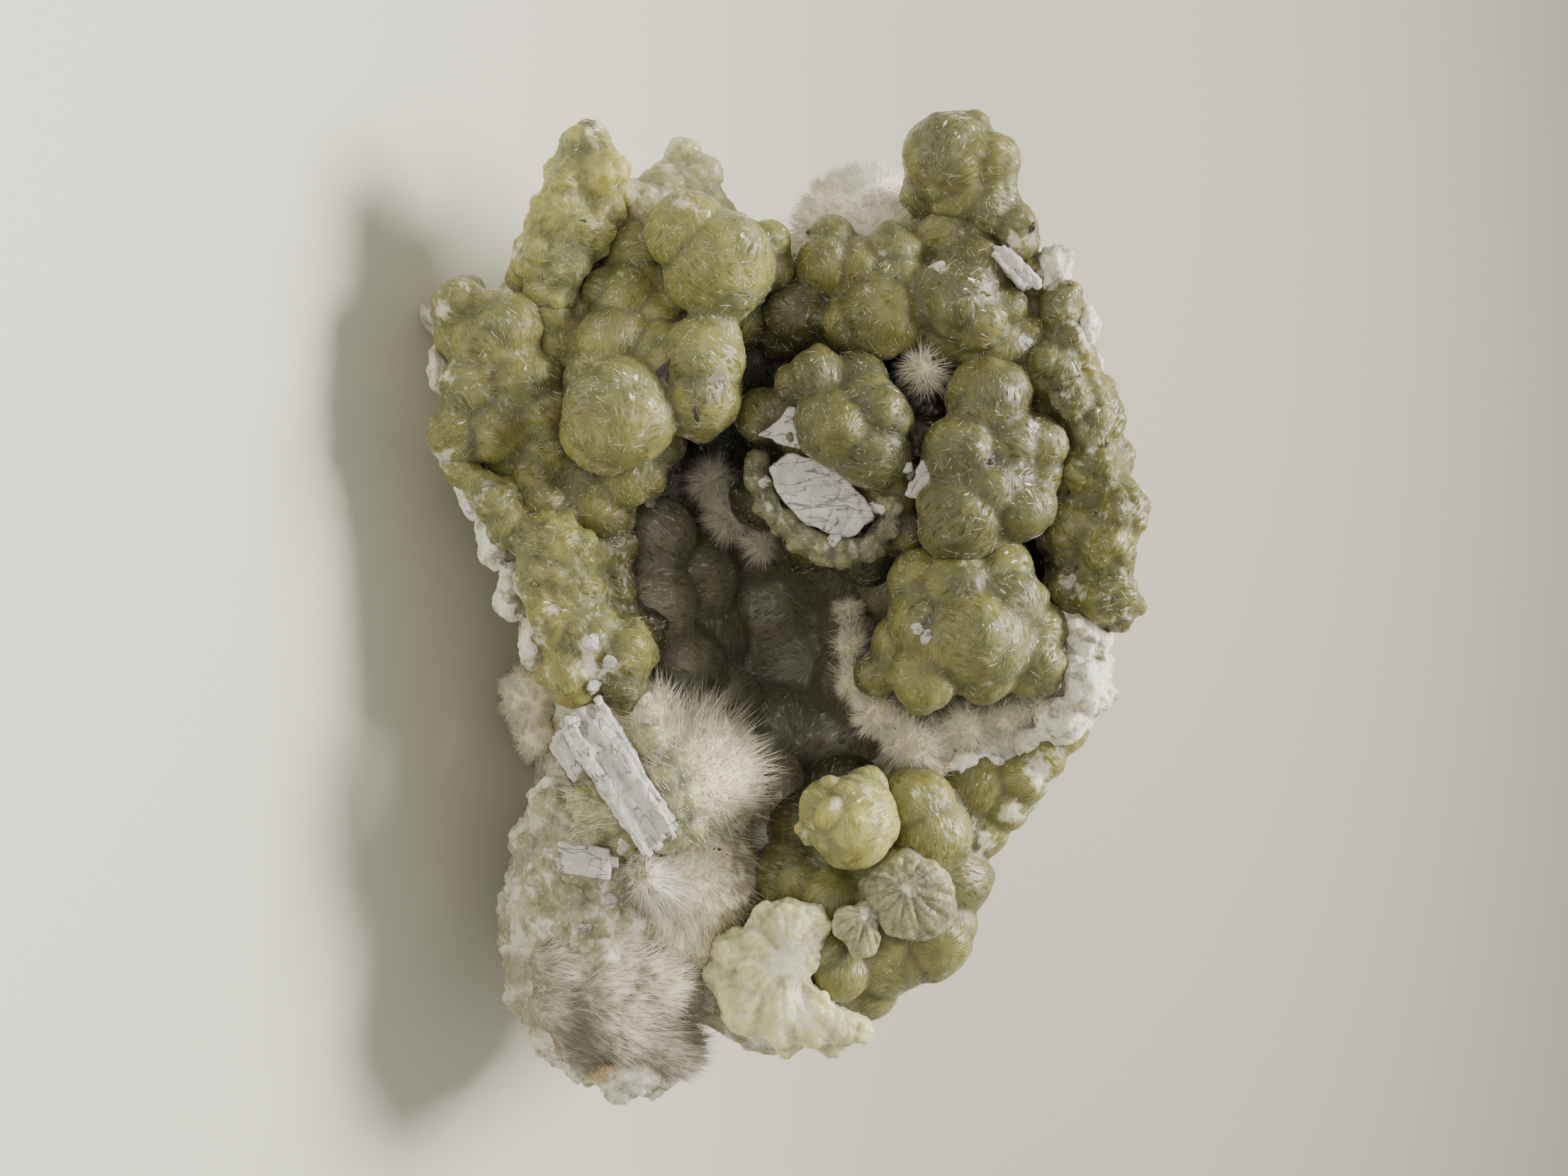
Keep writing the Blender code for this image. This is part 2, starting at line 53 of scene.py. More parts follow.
bpy.ops.object.camera_add(location=(FACE_MIDDLE - sight * SIGHT_DISTANCE) * MM)
camera = bpy.context.object
camera.name = "camera"
camera.rotation_euler = Matrix((face_up, picture_up, -sight)).transposed().to_euler()
camera.data.sensor_width = 36.0
camera.data.lens = 52.0
camera.data.clip_start = 0.01
bpy.context.scene.camera = camera

# The table: a matt, off-white top, warmer and darker behind the specimen as painted shade.
TABLE_SIDE = 6.0
TABLE_FRONT = (0.76, 0.765, 0.63, 1.0)
TABLE_BACK_SHADE = (0.40, 0.375, 0.31, 1.0)
FADE_START = -0.10
FADE_END = 0.09


def feed(tree, node, inputs):
    """Feeds a node's sockets with values or with other nodes' outputs."""
    for socket, value in inputs.items():
        if isinstance(value, bpy.types.NodeSocket):
            tree.links.new(value, node.inputs[socket])
        else:
            node.inputs[socket].default_value = value


def wire(tree, kind, inputs=None, **settings):
    """Adds a node, sets it up and feeds its sockets."""
    made = tree.nodes.new(kind)
    for name, value in settings.items():
        setattr(made, name, value)
    feed(tree, made, inputs or {})
    return made


def blend(tree, factor, first, second):
    """A colour between two colours, each a value or another node's output."""
    mix = wire(tree, "ShaderNodeMix", {"Factor": factor}, data_type="RGBA")
    for socket, value in (("A", first), ("B", second)):
        end = [one for one in mix.inputs if one.name == socket and one.type == "RGBA"][0]
        if isinstance(value, bpy.types.NodeSocket):
            tree.links.new(value, end)
        else:
            end.default_value = value
    return [one for one in mix.outputs if one.type == "RGBA"][0]


def new_finish(name):
    """A new material, with its node tree, its shader and the piece's own coordinates."""
    made = bpy.data.materials.new(name)
    made.use_nodes = True
    tree = made.node_tree
    body = wire(tree, "ShaderNodeTexCoord").outputs["Object"]
    return made, tree, tree.nodes["Principled BSDF"], body


bpy.ops.mesh.primitive_plane_add(size=TABLE_SIDE)
table = bpy.context.object
table.name = "table"
table_top, tree, shader, body = new_finish("off_white_table")
fade = wire(tree, "ShaderNodeMapRange", {
    "Value": wire(tree, "ShaderNodeSeparateXYZ", {"Vector": body}).outputs["Y"],
    "From Min": FADE_START, "From Max": FADE_END,
}, interpolation_type="SMOOTHSTEP").outputs["Result"]
feed(tree, shader, {"Base Color": blend(tree, fade, TABLE_FRONT, TABLE_BACK_SHADE), "Roughness": 0.6})
table.data.materials.append(table_top)

# The light: one wide soft lamp above and a little behind, so the shadow falls towards the camera,
# a large window in front that throws a weak light into the hollow, and a pale room all round.
room = bpy.data.worlds.new("pale_room")
room.use_nodes = True
room.node_tree.nodes["Background"].inputs["Color"].default_value = (0.95, 0.94, 0.87, 1.0)
room.node_tree.nodes["Background"].inputs["Strength"].default_value = 0.50
bpy.context.scene.world = room
LIT_PLACE = Vector((0.0, 0.0, 0.03))
for name, spot, size, energy, colour in (
    ("soft_lamp", (-0.10, 0.16, 0.46), 0.22, 5.6, (1.0, 0.98, 0.90)),
    ("front_window", (-0.06, -0.42, 0.26), 0.30, 0.55, (1.0, 0.97, 0.88)),
):
    bpy.ops.object.light_add(type="AREA", location=spot)
    lamp = bpy.context.object
    lamp.name = name
    lamp.data.shape = "DISK"
    lamp.data.size = size
    lamp.data.energy = energy
    lamp.data.color = colour
    lamp.rotation_euler = (LIT_PLACE - Vector(spot)).to_track_quat("-Z", "Y").to_euler()


# The crust: green prehnite, grown over the whole vug wall as round lumps knitted into each other.
# Each lump is a ball of fine fibres, so its skin is waxy and silky, and it carries a few lower
# lobes of its own. It grew on the matrix and holds on to it all over its back.
# Every lump is (across, up, into, radius): its place on the leaning face and its size, in millimetres.
LEFT_HORN = [
    (-40.2, -18.3, 2.2, 2.0), (-40.4, -17.2, 1.8, 1.7), (-37.6, -16.0, 2, 2.3), (-36.8, -19.4, 2.8, 2.7),
    (-33.9, -20.2, 2.5, 2.6), (-34.2, -16.6, 3, 2.2), (-32.2, -18, 2, 2.6), (-29.8, -22.2, 2.6, 2.5),
    (-29.6, -19.6, 2.3, 2.5), (-27.2, -21, 2.8, 2.4), (-36.8, -18.0, 5.5, 3.0), (-32.0, -20.0, 6, 3.6),
    (-28.4, -21.6, 6.5, 3.4),
]
BACK_HORN = [
    (-38.6, -8.8, 9.5, 2.0), (-36.8, -8.0, 9.5, 2.5), (-36.2, -10.8, 9, 2.5), (-34.6, -13, 8, 2.4),
    (-35.3, -14.4, 7, 1.7), (-32.5, -11.5, 9, 3.2), (-33.5, -7.5, 10, 3.0),
]
CROWN = [
    (-32.4, -8.7, 1.6, 3.6), (-29.4, -5.9, 2.3, 4.8), (-31.3, -1.4, 4.5, 2), (-30.3, -13.7, 5.5, 2.8),
    (-28, -13.5, 5, 2.3), (-24.2, -4, 6.5, 2.5), (-28.8, -1, 5, 2), (-26.5, -9, 8, 4.5),
    (-27.5, -3.5, 8.5, 4.0), (-24.5, -12.5, 8, 4.5),
]
LEFT_BALLS = [
    (-15.6, -14.9, 0.5, 4.7), (-14.5, -16.1, 2, 4.2), (-18.5, -17, 2, 3), (-20.7, -7.4, 2, 3.9),
    (-17.3, -7.75, 2.2, 3.8), (-19.3, -9.8, 2.5, 3.4), (-26.1, -14.6, 4, 2.9), (-27, -16.4, 3.5, 1.9),
    (-24.6, -12, 4, 2.2), (-22.3, -15.6, 3, 3.3), (-21.4, -11.5, 3, 2.7), (-24.2, -21.1, 4, 2.3),
    (-21.8, -20.6, 4, 2.2), (-19, -12, 8, 5.0), (-24, -17.5, 8, 4.5),
]
LEFT_MASS = [
    (-25.7, -29.2, 2.6, 2.5), (-26.1, -26.8, 0.8, 1.2), (-23.8, -24.8, 2, 3), (-21.8, -26.6, 2.2, 3.2),
    (-18.2, -28.1, 2, 3.1), (-18.6, -23.6, 2.2, 3.2), (-16.4, -21.9, 2.8, 2.9), (-13.8, -29.2, 2.7, 2.9),
    (-14.3, -26.2, 2.5, 2.9), (-23, -29.4, 3.5, 2.3), (-13, -21.6, 4.5, 2.5), (-9.4, -22.6, 4.5, 2.2),
    (-7.8, -21.8, 4.5, 2.2), (-6.1, -20, 5, 2.1), (-10.2, -13.7, 4.5, 2.8), (-13, -10.9, 5, 2.2),
    (-7, -16.6, 6, 3.1), (-9.5, -18, 6, 2.4), (-21, -24, 7, 4.5), (-14, -24.5, 7, 4.5), (-11, -17, 9, 4.5),
]
LEFT_RIM = [
    (-11, -29.3, 2.8, 1.7), (-9.3, -27.5, 2.8, 1.7), (-7.4, -26.1, 2.8, 1.8), (-5.4, -25.1, 2.8, 1.8),
    (-3.9, -21.4, 2.8, 3), (-3.2, -18.7, 3, 2.2), (-1.2, -21.8, 2.8, 2.7), (0.4, -18.4, 3.5, 2.2),
    (2.6, -20.5, 3, 2.8), (4.5, -17.5, 3, 3), (5.8, -14.4, 3.5, 2.9), (7.5, -19, 3, 3), (8.6, -14.8, 4, 2.4),
    (-8, -24.5, 5.5, 2.8), (0, -20, 6.5, 3.8), (6, -17, 7, 4.2), (-3.5, -16.5, 7.5, 3.2),
    (0.5, -16.2, 8, 3.2), (4.5, -14, 8.5, 3.2),
]
TOP_WALL = [
    (-31.7, 4.3, 5, 2.1), (-29.5, 3.9, 4.5, 2.6), (-28.9, 7.1, 4.5, 2.7), (-30.1, 9.75, 4.5, 2.7),
    (-28, 9.9, 4, 2.6), (-24.8, 8.9, 4, 3.7), (-24, 6.4, 4.5, 2.7), (-25.6, 11.4, 4.5, 2.6),
    (-24.8, 1, 6.5, 2.9), (-23, -0.2, 7.5, 2.3), (-22.5, 4.5, 8, 2.5), (-26.4, 16, 2.8, 3.6),
    (-24, 17.5, 1.8, 2.4), (-28.5, 17.3, 3.8, 3.2), (-25.4, 20.4, 2.6, 1.7), (-23.2, 14.6, 5, 3),
    (-31.7, 15.2, 5, 2.8), (-31.9, 18, 4.5, 2.2), (-21.4, 19.1, 5, 3.6), (-22.5, 21.8, 4.5, 2.6),
    (-27.5, 5, 9, 4.5), (-25.5, 12.5, 9, 5.0), (-25, 18.5, 8.5, 4.8), (-31, 12.8, 7.5, 3.0),
]
RIGHT_HORN = [
    (-38.8, 15.2, 4, 4.3), (-38.6, 18.7, 3, 2.7), (-41.8, 17.3, 3.5, 1.4), (-35.8, 16.2, 4, 3),
    (-36.2, 13.4, 5, 2.6), (-36, 19, 3.2, 2.1), (-34, 18.8, 2.8, 2.1), (-32.9, 21, 2.8, 2.0),
    (-31.3, 21.2, 3.2, 1.9), (-34.5, 16, 7, 3.4),
]
RIGHT_EDGE = [
    (-26.2, 25, 2.8, 1.8), (-24.8, 25.2, 2.8, 2), (-22.7, 25.6, 2.8, 1.9), (-19.9, 24.1, 3, 2.6),
    (-19.7, 26.2, 3.2, 2.2), (-16.9, 25.8, 1.4, 1.8), (-17.5, 27.8, 3.2, 1.8), (-14.9, 27.6, 4, 3.1),
    (-10.2, 27.4, 4.5, 3.3), (-11.2, 28.4, 1.8, 1.5), (-7.4, 30.2, 2.8, 2.6), (-5.4, 26.5, 5.5, 3.8),
    (-4.2, 29, 3.5, 3), (0.4, 26, 5.5, 2.6), (1.0, 29.6, 3.2, 2.7), (1.6, 31.6, 3, 1.4),
    (-27.8, 22.8, 5, 2.6), (-22.5, 24, 6.5, 3.6), (-17, 25.5, 7, 4.2), (-11, 26.8, 8, 4.6),
    (-3.5, 27, 9, 4.6),
]
CENTRE_CLUSTER = [
    (-19.2, 3.1, 2.2, 2.4), (-18.7, 0.8, 2.4, 1.6), (-18.8, 6.7, 3, 2.5), (-14.5, 4.9, 1, 3.3),
    (-15.6, 8.1, 1.2, 3.2), (-12.6, 7.8, 1.6, 3.3), (-15.5, -1.9, 5, 2.4), (-13.4, 12, 8, 2.5),
    (-8.2, -1.6, 8.5, 2.8), (-4.2, 2.7, 8, 2.6), (-3.4, 7.1, 8, 2.8), (-5.3, 11, 6, 2.5), (-9, 9.5, 5, 2.8),
    (-15, 4.5, 6.5, 4.8), (-9.5, 4.5, 10, 5.5), (-12, 10, 12, 5.0), (-18, 5, 11, 5.0), (-14.5, 0.5, 9, 3.6),
]
RIGHT_CLUSTER = [
    (-17, 18.4, 2.2, 3.5), (-13, 20.2, 2, 3), (-12.3, 15.8, 0.8, 2.9), (-12.8, 22.7, 2.8, 2.7),
    (-6.6, 16, 1.4, 3.6), (-8.8, 18.4, 1.2, 3), (-7.3, 21.2, 2, 2.9), (-4.4, 18.4, 3, 2.4),
    (-10.5, 22.8, 3.2, 2.4), (-10.5, 18.5, 4.5, 5.0), (-11, 19, 10, 5.5), (-15.5, 19.5, 8, 4.5),
]
LOWER_CLUSTER = [
    (-0.8, 12.2, 3.5, 2.6), (-0.4, 15.8, 2.2, 3), (-1.2, 19.6, 3, 2.8), (1.4, 20.2, 2, 3.2),
    (3, 12.8, 2.6, 3), (4.4, 17.4, 1.2, 4.2), (8.2, 12.8, 1.6, 2.7), (7.6, 18, 2.2, 2.7),
    (6.9, 22.6, 3, 2.6), (3.8, 23, 3.4, 2.4), (7.9, 8.3, 5, 1.9), (3.5, 17, 6, 4.8), (3, 18, 11, 5.5),
    (-3.5, 17.5, 11, 5.0), (5.5, 11.2, 5.5, 3.0),
]


def stand(across, up, into):
    """A place on the leaning face, in millimetres, as a point of the upright model in metres."""
    spread = 1.0 + into / SIGHT_DISTANCE
    return (FACE_MIDDLE + Vector((spread * across, 0.0, 0.0)) + face_up * (spread * up) + sight * into) * MM


def choose(piece):
    """Selects one piece alone."""
    if bpy.context.object and bpy.context.object.mode != "OBJECT":
        bpy.ops.object.mode_set(mode="OBJECT")
    bpy.ops.object.select_all(action="DESELECT")
    piece.select_set(True)
    bpy.context.view_layer.objects.active = piece


def apply_all(piece):
    choose(piece)
    for modifier in list(piece.modifiers):
        bpy.ops.object.modifier_apply(modifier=modifier.name)


def points_of(mesh, kind="co"):
    """Every point's place as an array, or its normal."""
    found = np.empty(len(mesh.vertices) * 3)
    mesh.vertices.foreach_get(kind, found)
    return found.reshape(-1, 3)


def piece_from(name, mesh):
    piece = bpy.data.objects.new(name, mesh)
    bpy.context.scene.collection.objects.link(piece)
    return piece


def triangles(name, points, corners):
    """A piece of triangles, from arrays of points and of three corners a face."""
    mesh = bpy.data.meshes.new(name)
    mesh.vertices.add(len(points))
    mesh.vertices.foreach_set("co", np.asarray(points, dtype=np.float32).ravel())
    mesh.loops.add(corners.size)
    mesh.loops.foreach_set("vertex_index", np.asarray(corners, dtype=np.int32).ravel())
    mesh.polygons.add(len(corners))
    mesh.polygons.foreach_set("loop_start", np.arange(0, corners.size, 3, dtype=np.int32))
    mesh.update(calc_edges=True)
    return piece_from(name, mesh)


def keep(piece, name, values):
    """Keeps colours or vectors on a piece's points, for its finish to read."""
    kind, field = ("FLOAT_COLOR", "color") if values.shape[-1] == 4 else ("FLOAT_VECTOR", "vector")
    marks = np.asarray(values, dtype=np.float32).ravel()
    piece.data.attributes.new(name, kind, "POINT").data.foreach_set(field, marks)


def settle(piece, finish, node):
    """Gives a piece its finish, and fixes it in place of a solid."""
    piece.data.materials.append(finish)
    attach(piece, "root")
    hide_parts(node)


# One lobe, modelled once as a ball and copied wherever the crust swells.
bpy.ops.mesh.primitive_ico_sphere_add(subdivisions=4, radius=1.0)
lobe = bpy.context.object
lobe_points = points_of(lobe.data)
lobe_corners = np.array([tuple(face.vertices) for face in lobe.data.polygons])
bpy.data.objects.remove(lobe, do_unlink=True)


def lobed(lumps, seed, buds=8, swell=0.15, plump=1.02):
    """Every lump with low lobes lapped over it: places, radii, poles of their fibres, and owners."""
    chance = np.random.default_rng(seed)
    places = []
    radii = []
    owners = []
    for owner, (across, up, into, radius) in enumerate(lumps):
        middle = np.array(stand(across, up, into))
        size = radius * plump * (1.0 + into / SIGHT_DISTANCE) * MM
        places.append(middle)
        radii.append(size)
        owners.append(owner)
        count = int(round(buds * min(1.6, max(0.5, radius / 3.0))))
        for _ in range(count):
            way = chance.normal(size=3)
            way /= np.linalg.norm(way)
            bud = size * chance.uniform(0.42, 0.92)
            lift = size * (1.0 + swell * chance.uniform(0.2, 1.0))
            places.append(middle + way * (lift - bud))
            radii.append(bud)
            owners.append(owner)
    places = np.array(places)
    poles = chance.normal(size=places.shape)
    poles /= np.linalg.norm(poles, axis=1)[:, None]
    return places, np.array(radii), poles, np.array(owners)


def skin_over(piece, voxel):
    """Joins all that overlaps in a piece into one skin."""
    skin = piece.modifiers.new("Skin", "REMESH")
    skin.mode = "VOXEL"
    skin.voxel_size = voxel * MM
    apply_all(piece)


def joined(name, balls, voxel):
    """One skin over many balls, given as an array of the points of each."""
    corners = lobe_corners[None] + (np.arange(len(balls)) * len(lobe_points))[:, None, None]
    piece = triangles(name, balls.reshape(-1, 3), corners.reshape(-1, 3))
    skin_over(piece, voxel)
    return piece


def soften(piece, times):
    smooth = piece.modifiers.new("Soften", "SMOOTH")
    smooth.factor = 0.5
    smooth.iterations = times


def sink(piece, depth):
    """Moves the whole skin inwards, by a depth in millimetres."""
    inwards = piece.modifiers.new("Sink", "DISPLACE")
    inwards.strength = -depth * MM
    inwards.mid_level = 0.0


def ripple(piece, waves):
    """Pushes the skin in and out by procedural waves, each a (kind, size, depth) in millimetres."""
    for kind, size, depth in waves:
        cloud = bpy.data.textures.new(piece.name + "_ripple", kind)
        cloud.noise_scale = size * MM
        wave = piece.modifiers.new("Ripple", "DISPLACE")
        wave.texture = cloud
        wave.texture_coords = "LOCAL"
        wave.strength = depth * MM
        wave.mid_level = 0.5


def thin(piece, share):
    """Applies the piece's modifiers, leaves out the faces it needs least and shades it smooth."""
    fewer = piece.modifiers.new("Fewer", "DECIMATE")
    fewer.ratio = share
    apply_all(piece)
    bpy.ops.object.shade_smooth()


def knit(name, growth, voxel, waves, fill=0.2, share=0.56):
    """Grows the lobes together into one skin, fills its creases a little and ripples it."""
    places = growth[0]
    radii = growth[1] + fill * MM
    piece = joined(name, lobe_points[None] * radii[:, None, None] + places[:, None], voxel)
    soften(piece, 2)
    sink(piece, fill)
    ripple(piece, waves)
    thin(piece, share)
    return piece


def face_places(points):
    """Across, up and into on the leaning face, in millimetres, of points of the upright model."""
    off = points / MM - np.array(FACE_MIDDLE)
    into = off @ np.array(sight)
    spread = 1.0 + into / SIGHT_DISTANCE
    return np.stack((off[:, 0] / spread, off @ np.array(face_up) / spread, into), axis=1)


# The hollow's mouth on the face: painted shade darkens the crust inside it, from a first depth over a reach.
MOUTH_MIDDLE = (-4.0, 2.0)
MOUTH_HALVES = (26.0, 24.0)
SHADE_START = 2.6
SHADE_REACH = 4.5
CREASE_WIDTH = 0.5
BATCH = 20000


def mark_growth(piece, growth, seed, tone=1.0, painted_shade=0.85):
    """Keeps on every point its fibres' way, its lobe's tint, how deep in a crease it lies, and a tone.

    The tone carries painted shade: the crust is darker where it lies deep between the clusters.
    """
    places, radii, poles, owners = growth
    chance = np.random.default_rng(seed)
    tints = chance.uniform(0.0, 1.0, len(radii))
    points = points_of(piece.data)
    nearest = np.empty(len(points), dtype=int)
    crease = np.empty(len(points))
    for start in range(0, len(points), BATCH):
        some = slice(start, start + BATCH)
        gap = np.linalg.norm(points[some][:, None] - places[None], axis=2) - radii[None]
        first = np.argmin(gap, axis=1)
        nearest[some] = first
        least = gap[np.arange(len(first)), first]
        gap[owners[None] == owners[first][:, None]] = 1.0
        crease[some] = gap.min(axis=1) - least
    out = points - places[nearest]
    pole = poles[nearest]
    along = np.einsum("ij,ij->i", out, pole) / np.maximum(np.linalg.norm(out, axis=1), 1e-9)
    side = np.cross(pole, np.array((0.31, 0.82, 0.48)))
    side /= np.linalg.norm(side, axis=1)[:, None]
    other = np.cross(pole, side)
    flat_side = np.einsum("ij,ij->i", out, side)
    flat_other = np.einsum("ij,ij->i", out, other)
    flat = np.maximum(np.hypot(flat_side, flat_other), 1e-9)
    size = radii[nearest] / MM
    fibre = np.empty((len(points), 3), dtype=np.float32)
    fibre[:, 0] = size * flat_side / flat
    fibre[:, 1] = size * flat_other / flat
    fibre[:, 2] = size * np.arccos(np.clip(along, -1.0, 1.0)) + nearest * 13.7
    keep(piece, "fibre", fibre)
    marks = np.zeros((len(points), 4), dtype=np.float32)
    marks[:, 0] = tints[nearest]
    marks[:, 1] = np.clip(crease / (CREASE_WIDTH * MM), 0.0, 1.0) ** 0.5
    across, up, into = face_places(points).T
    off = np.hypot((across - MOUTH_MIDDLE[0]) / MOUTH_HALVES[0], (up - MOUTH_MIDDLE[1]) / MOUTH_HALVES[1])
    within = np.clip((1.15 - off) / 0.25, 0.0, 1.0)
    # Painted shade: the tone falls where the crust lies deep inside the hollow's mouth.
    marks[:, 3] = tone * (1.0 - painted_shade * within * np.clip((into - SHADE_START) / SHADE_REACH, 0.0, 1.0))
    keep(piece, "growth", marks)


def frost(piece, spots):
    """Marks chalky white spots, each an (across, up, radius, strength), on what faces the front."""
    mesh = piece.data
    at = face_places(points_of(mesh))
    front = np.clip(-(points_of(mesh, "normal") @ np.array(sight)) * 1.5 + 0.4, 0.0, 1.0)
    marks = np.empty(len(mesh.vertices) * 4, dtype=np.float32)
    mesh.attributes["growth"].data.foreach_get("color", marks)
    marks = marks.reshape(-1, 4)
    for across, up, radius, strength in spots:
        off = np.hypot(at[:, 0] - across, at[:, 1] - up) / radius
        marks[:, 2] = np.maximum(marks[:, 2], strength * np.clip(1.4 - off, 0.0, 1.0) * front)
    mesh.attributes["growth"].data.foreach_set("color", marks.ravel())


def radiate(piece, middle, front, flatten, rays, level, slope, relief):
    """Flattens a broken front, and raises rays on it that run out from one place.

    Each set of rays is (how many, turn, drift with distance, share of the relief).
    """
    points = points_of(piece.data)
    at = face_places(points)
    points += np.array(sight) * ((front - np.minimum(at[:, 2], front)) * flatten * MM)[:, None]
    angle = np.arctan2(at[:, 1] - middle[1], at[:, 0] - middle[0])
    reach = np.hypot(at[:, 1] - middle[1], at[:, 0] - middle[0])
    ridge = sum(np.abs(np.sin(angle * count + turn + drift * reach)) * share
                for count, turn, drift, share in rays)
    raised = (ridge - level) * np.clip(reach / slope, 0.0, 1.0) * relief * MM
    points -= np.array(sight) * raised[:, None]
    piece.data.vertices.foreach_set("co", points.ravel())
    piece.data.update()


def grow(name, node, finish, lumps, seed, voxel, waves, dust=(), tone=1.0, painted_shade=0.85, buds=8,
         swell=0.15, plump=1.02, fill=0.2, share=0.56, rays=None):
    """Grows one prehnite piece: its skin, its marks, the dust that lies on it and its finish."""
    growth = lobed(lumps, seed, buds, swell, plump)
    piece = knit(name, growth, voxel, waves, fill, share)
    mark_growth(piece, growth, seed, tone, painted_shade)
    if rays:
        radiate(piece, *rays)
    frost(piece, dust)
    settle(piece, finish, node)


def ramp(tree, value, low, high, start=0.0, end=1.0):
    return wire(tree, "ShaderNodeMapRange", {
        "Value": value, "From Min": low, "From Max": high, "To Min": start, "To Max": end,
    }).outputs["Result"]


def squeezed(tree, place, scale):
    return wire(tree, "ShaderNodeMapping", {"Vector": place, "Scale": scale}).outputs["Vector"]


def noise(tree, place, scale, detail=2.0, rough=0.5):
    return wire(tree, "ShaderNodeTexNoise", {
        "Vector": place, "Scale": scale, "Detail": detail, "Roughness": rough,
    }).outputs["Fac"]


def cells(tree, place):
    return wire(tree, "ShaderNodeTexVoronoi", {"Vector": place, "Scale": 1.0}).outputs


def calc(tree, operation, *values):
    return wire(tree, "ShaderNodeMath", dict(enumerate(values)), operation=operation).outputs[0]


def calc_vector(tree, operation, inputs):
    return wire(tree, "ShaderNodeVectorMath", inputs, operation=operation).outputs["Vector"]


def kept_on(tree, name):
    """What is kept on the piece's points under a name."""
    return wire(tree, "ShaderNodeAttribute", attribute_name=name).outputs


def channels(tree, colour):
    return wire(tree, "ShaderNodeSeparateColor", {"Color": colour}).outputs


def prehnite_finish(name, deep, glow, pale, depth=1.9, dust=0.0):
    """Waxy green fibres: lit from inside, with fine pale strokes, painted white glints, painted shade in the
    creases and a chalky dust.
    """
    made, tree, shader, body = new_finish(name)
    white = (0.98, 0.97, 0.88, 1.0)
    # This dark colour serves both a dark mottle and the painted shade in the creases.
    dark = (deep[0] * 0.30, deep[1] * 0.32, deep[2] * 0.45, 1.0)
    fibre = kept_on(tree, "fibre")["Vector"]
    marks = kept_on(tree, "growth")
    parts = channels(tree, marks["Color"])
    patch = noise(tree, body, 170.0)
    cloudy = noise(tree, body, 620.0, 4.0, 0.6)
    stroke = noise(tree, squeezed(tree, fibre, (8.0, 8.0, 0.55)), 1.0, 2.0, 0.55)
    hair = noise(tree, squeezed(tree, fibre, (19.0, 19.0, 0.6)), 1.0, 1.0)
    grain = noise(tree, body, 3300.0, 2.0, 0.6)
    tint = calc(tree, "MULTIPLY_ADD", parts["Red"], 0.45, patch)
    colour = blend(tree, ramp(tree, tint, 0.45, 0.92), deep, glow)
    colour = blend(tree, ramp(tree, cloudy, 0.50, 0.74, 0.0, 0.30), colour, pale)
    colour = blend(tree, ramp(tree, stroke, 0.55, 0.72, 0.0, 0.14), colour, pale)
    colour = blend(tree, ramp(tree, cloudy, 0.34, 0.48, 0.25, 0.0), colour, dark)
    # Painted shade in the creases between different lumps.
    colour = blend(tree, ramp(tree, parts["Green"], 0.0, 1.0, 0.55, 0.0), colour, dark)
    # White hair lines along the fibres: partly pale fibres, partly painted glints.
    colour = blend(tree, ramp(tree, hair, 0.62, 0.70, 0.0, 0.26), colour, white)
    # The tone scales the colour: partly each piece's own colour, partly painted light and shade.
    colour = calc_vector(tree, "SCALE", {0: colour, "Scale": marks["Alpha"]})
    # Painted glints: white flecks in the colour, strung along the fibres.
    glint = cells(tree, squeezed(tree, fibre, (10.0, 10.0, 3.2)))
    chosen = ramp(tree, channels(tree, glint["Color"])["Red"], 0.86, 0.92)
    painted_glint = calc(tree, "MULTIPLY", chosen, ramp(tree, glint["Distance"], 0.20, 0.36, 1.0, 0.0))
    painted_glint = calc(tree, "MULTIPLY", painted_glint, ramp(tree, noise(tree, body, 300.0), 0.40, 0.60))
    colour = blend(tree, ramp(tree, painted_glint, 0.0, 1.0), colour, white)
    chalky = calc(tree, "MULTIPLY_ADD", cloudy, 1.8, parts["Blue"])
    chalky = ramp(tree, chalky, 1.18 - dust, 1.42 - dust, 0.0, 0.70)
    colour = blend(tree, chalky, colour, (0.80, 0.78, 0.67, 1.0))
    height = calc(tree, "ADD", calc(tree, "ADD", stroke, hair), grain)
    bump = wire(tree, "ShaderNodeBump", {"Height": height, "Strength": 0.24, "Distance": 0.12 * MM})
    facet = cells(tree, squeezed(tree, fibre, (4.6, 4.6, 1.6)))["Color"]
    shiny = ramp(tree, channels(tree, facet)["Red"], 0.66, 0.72)
    rough = ramp(tree, hair, 0.45, 0.65, 0.48, 0.30)
    turn = calc_vector(tree, "SUBTRACT", {0: facet, 1: (0.5, 0.5, 0.5)})
    turn = calc_vector(tree, "SCALE", {0: turn, "Scale": ramp(tree, shiny, 0.0, 1.0, 0.08, 0.9)})
    tilted = calc_vector(tree, "ADD", {0: bump.outputs["Normal"], 1: turn})
    feed(tree, shader, {
        "Base Color": colour, "Roughness": ramp(tree, shiny, 0.0, 1.0, rough, 0.17),
        "Normal": calc_vector(tree, "NORMALIZE", {0: tilted}), "IOR": 1.54,
        "Subsurface Weight": 0.9, "Subsurface Radius": (1.0, 0.95, 0.42), "Subsurface Scale": depth * MM,
        "Sheen Weight": 0.08, "Sheen Roughness": 0.35, "Sheen Tint": (0.95, 0.92, 0.75, 1.0),
    })
    return made


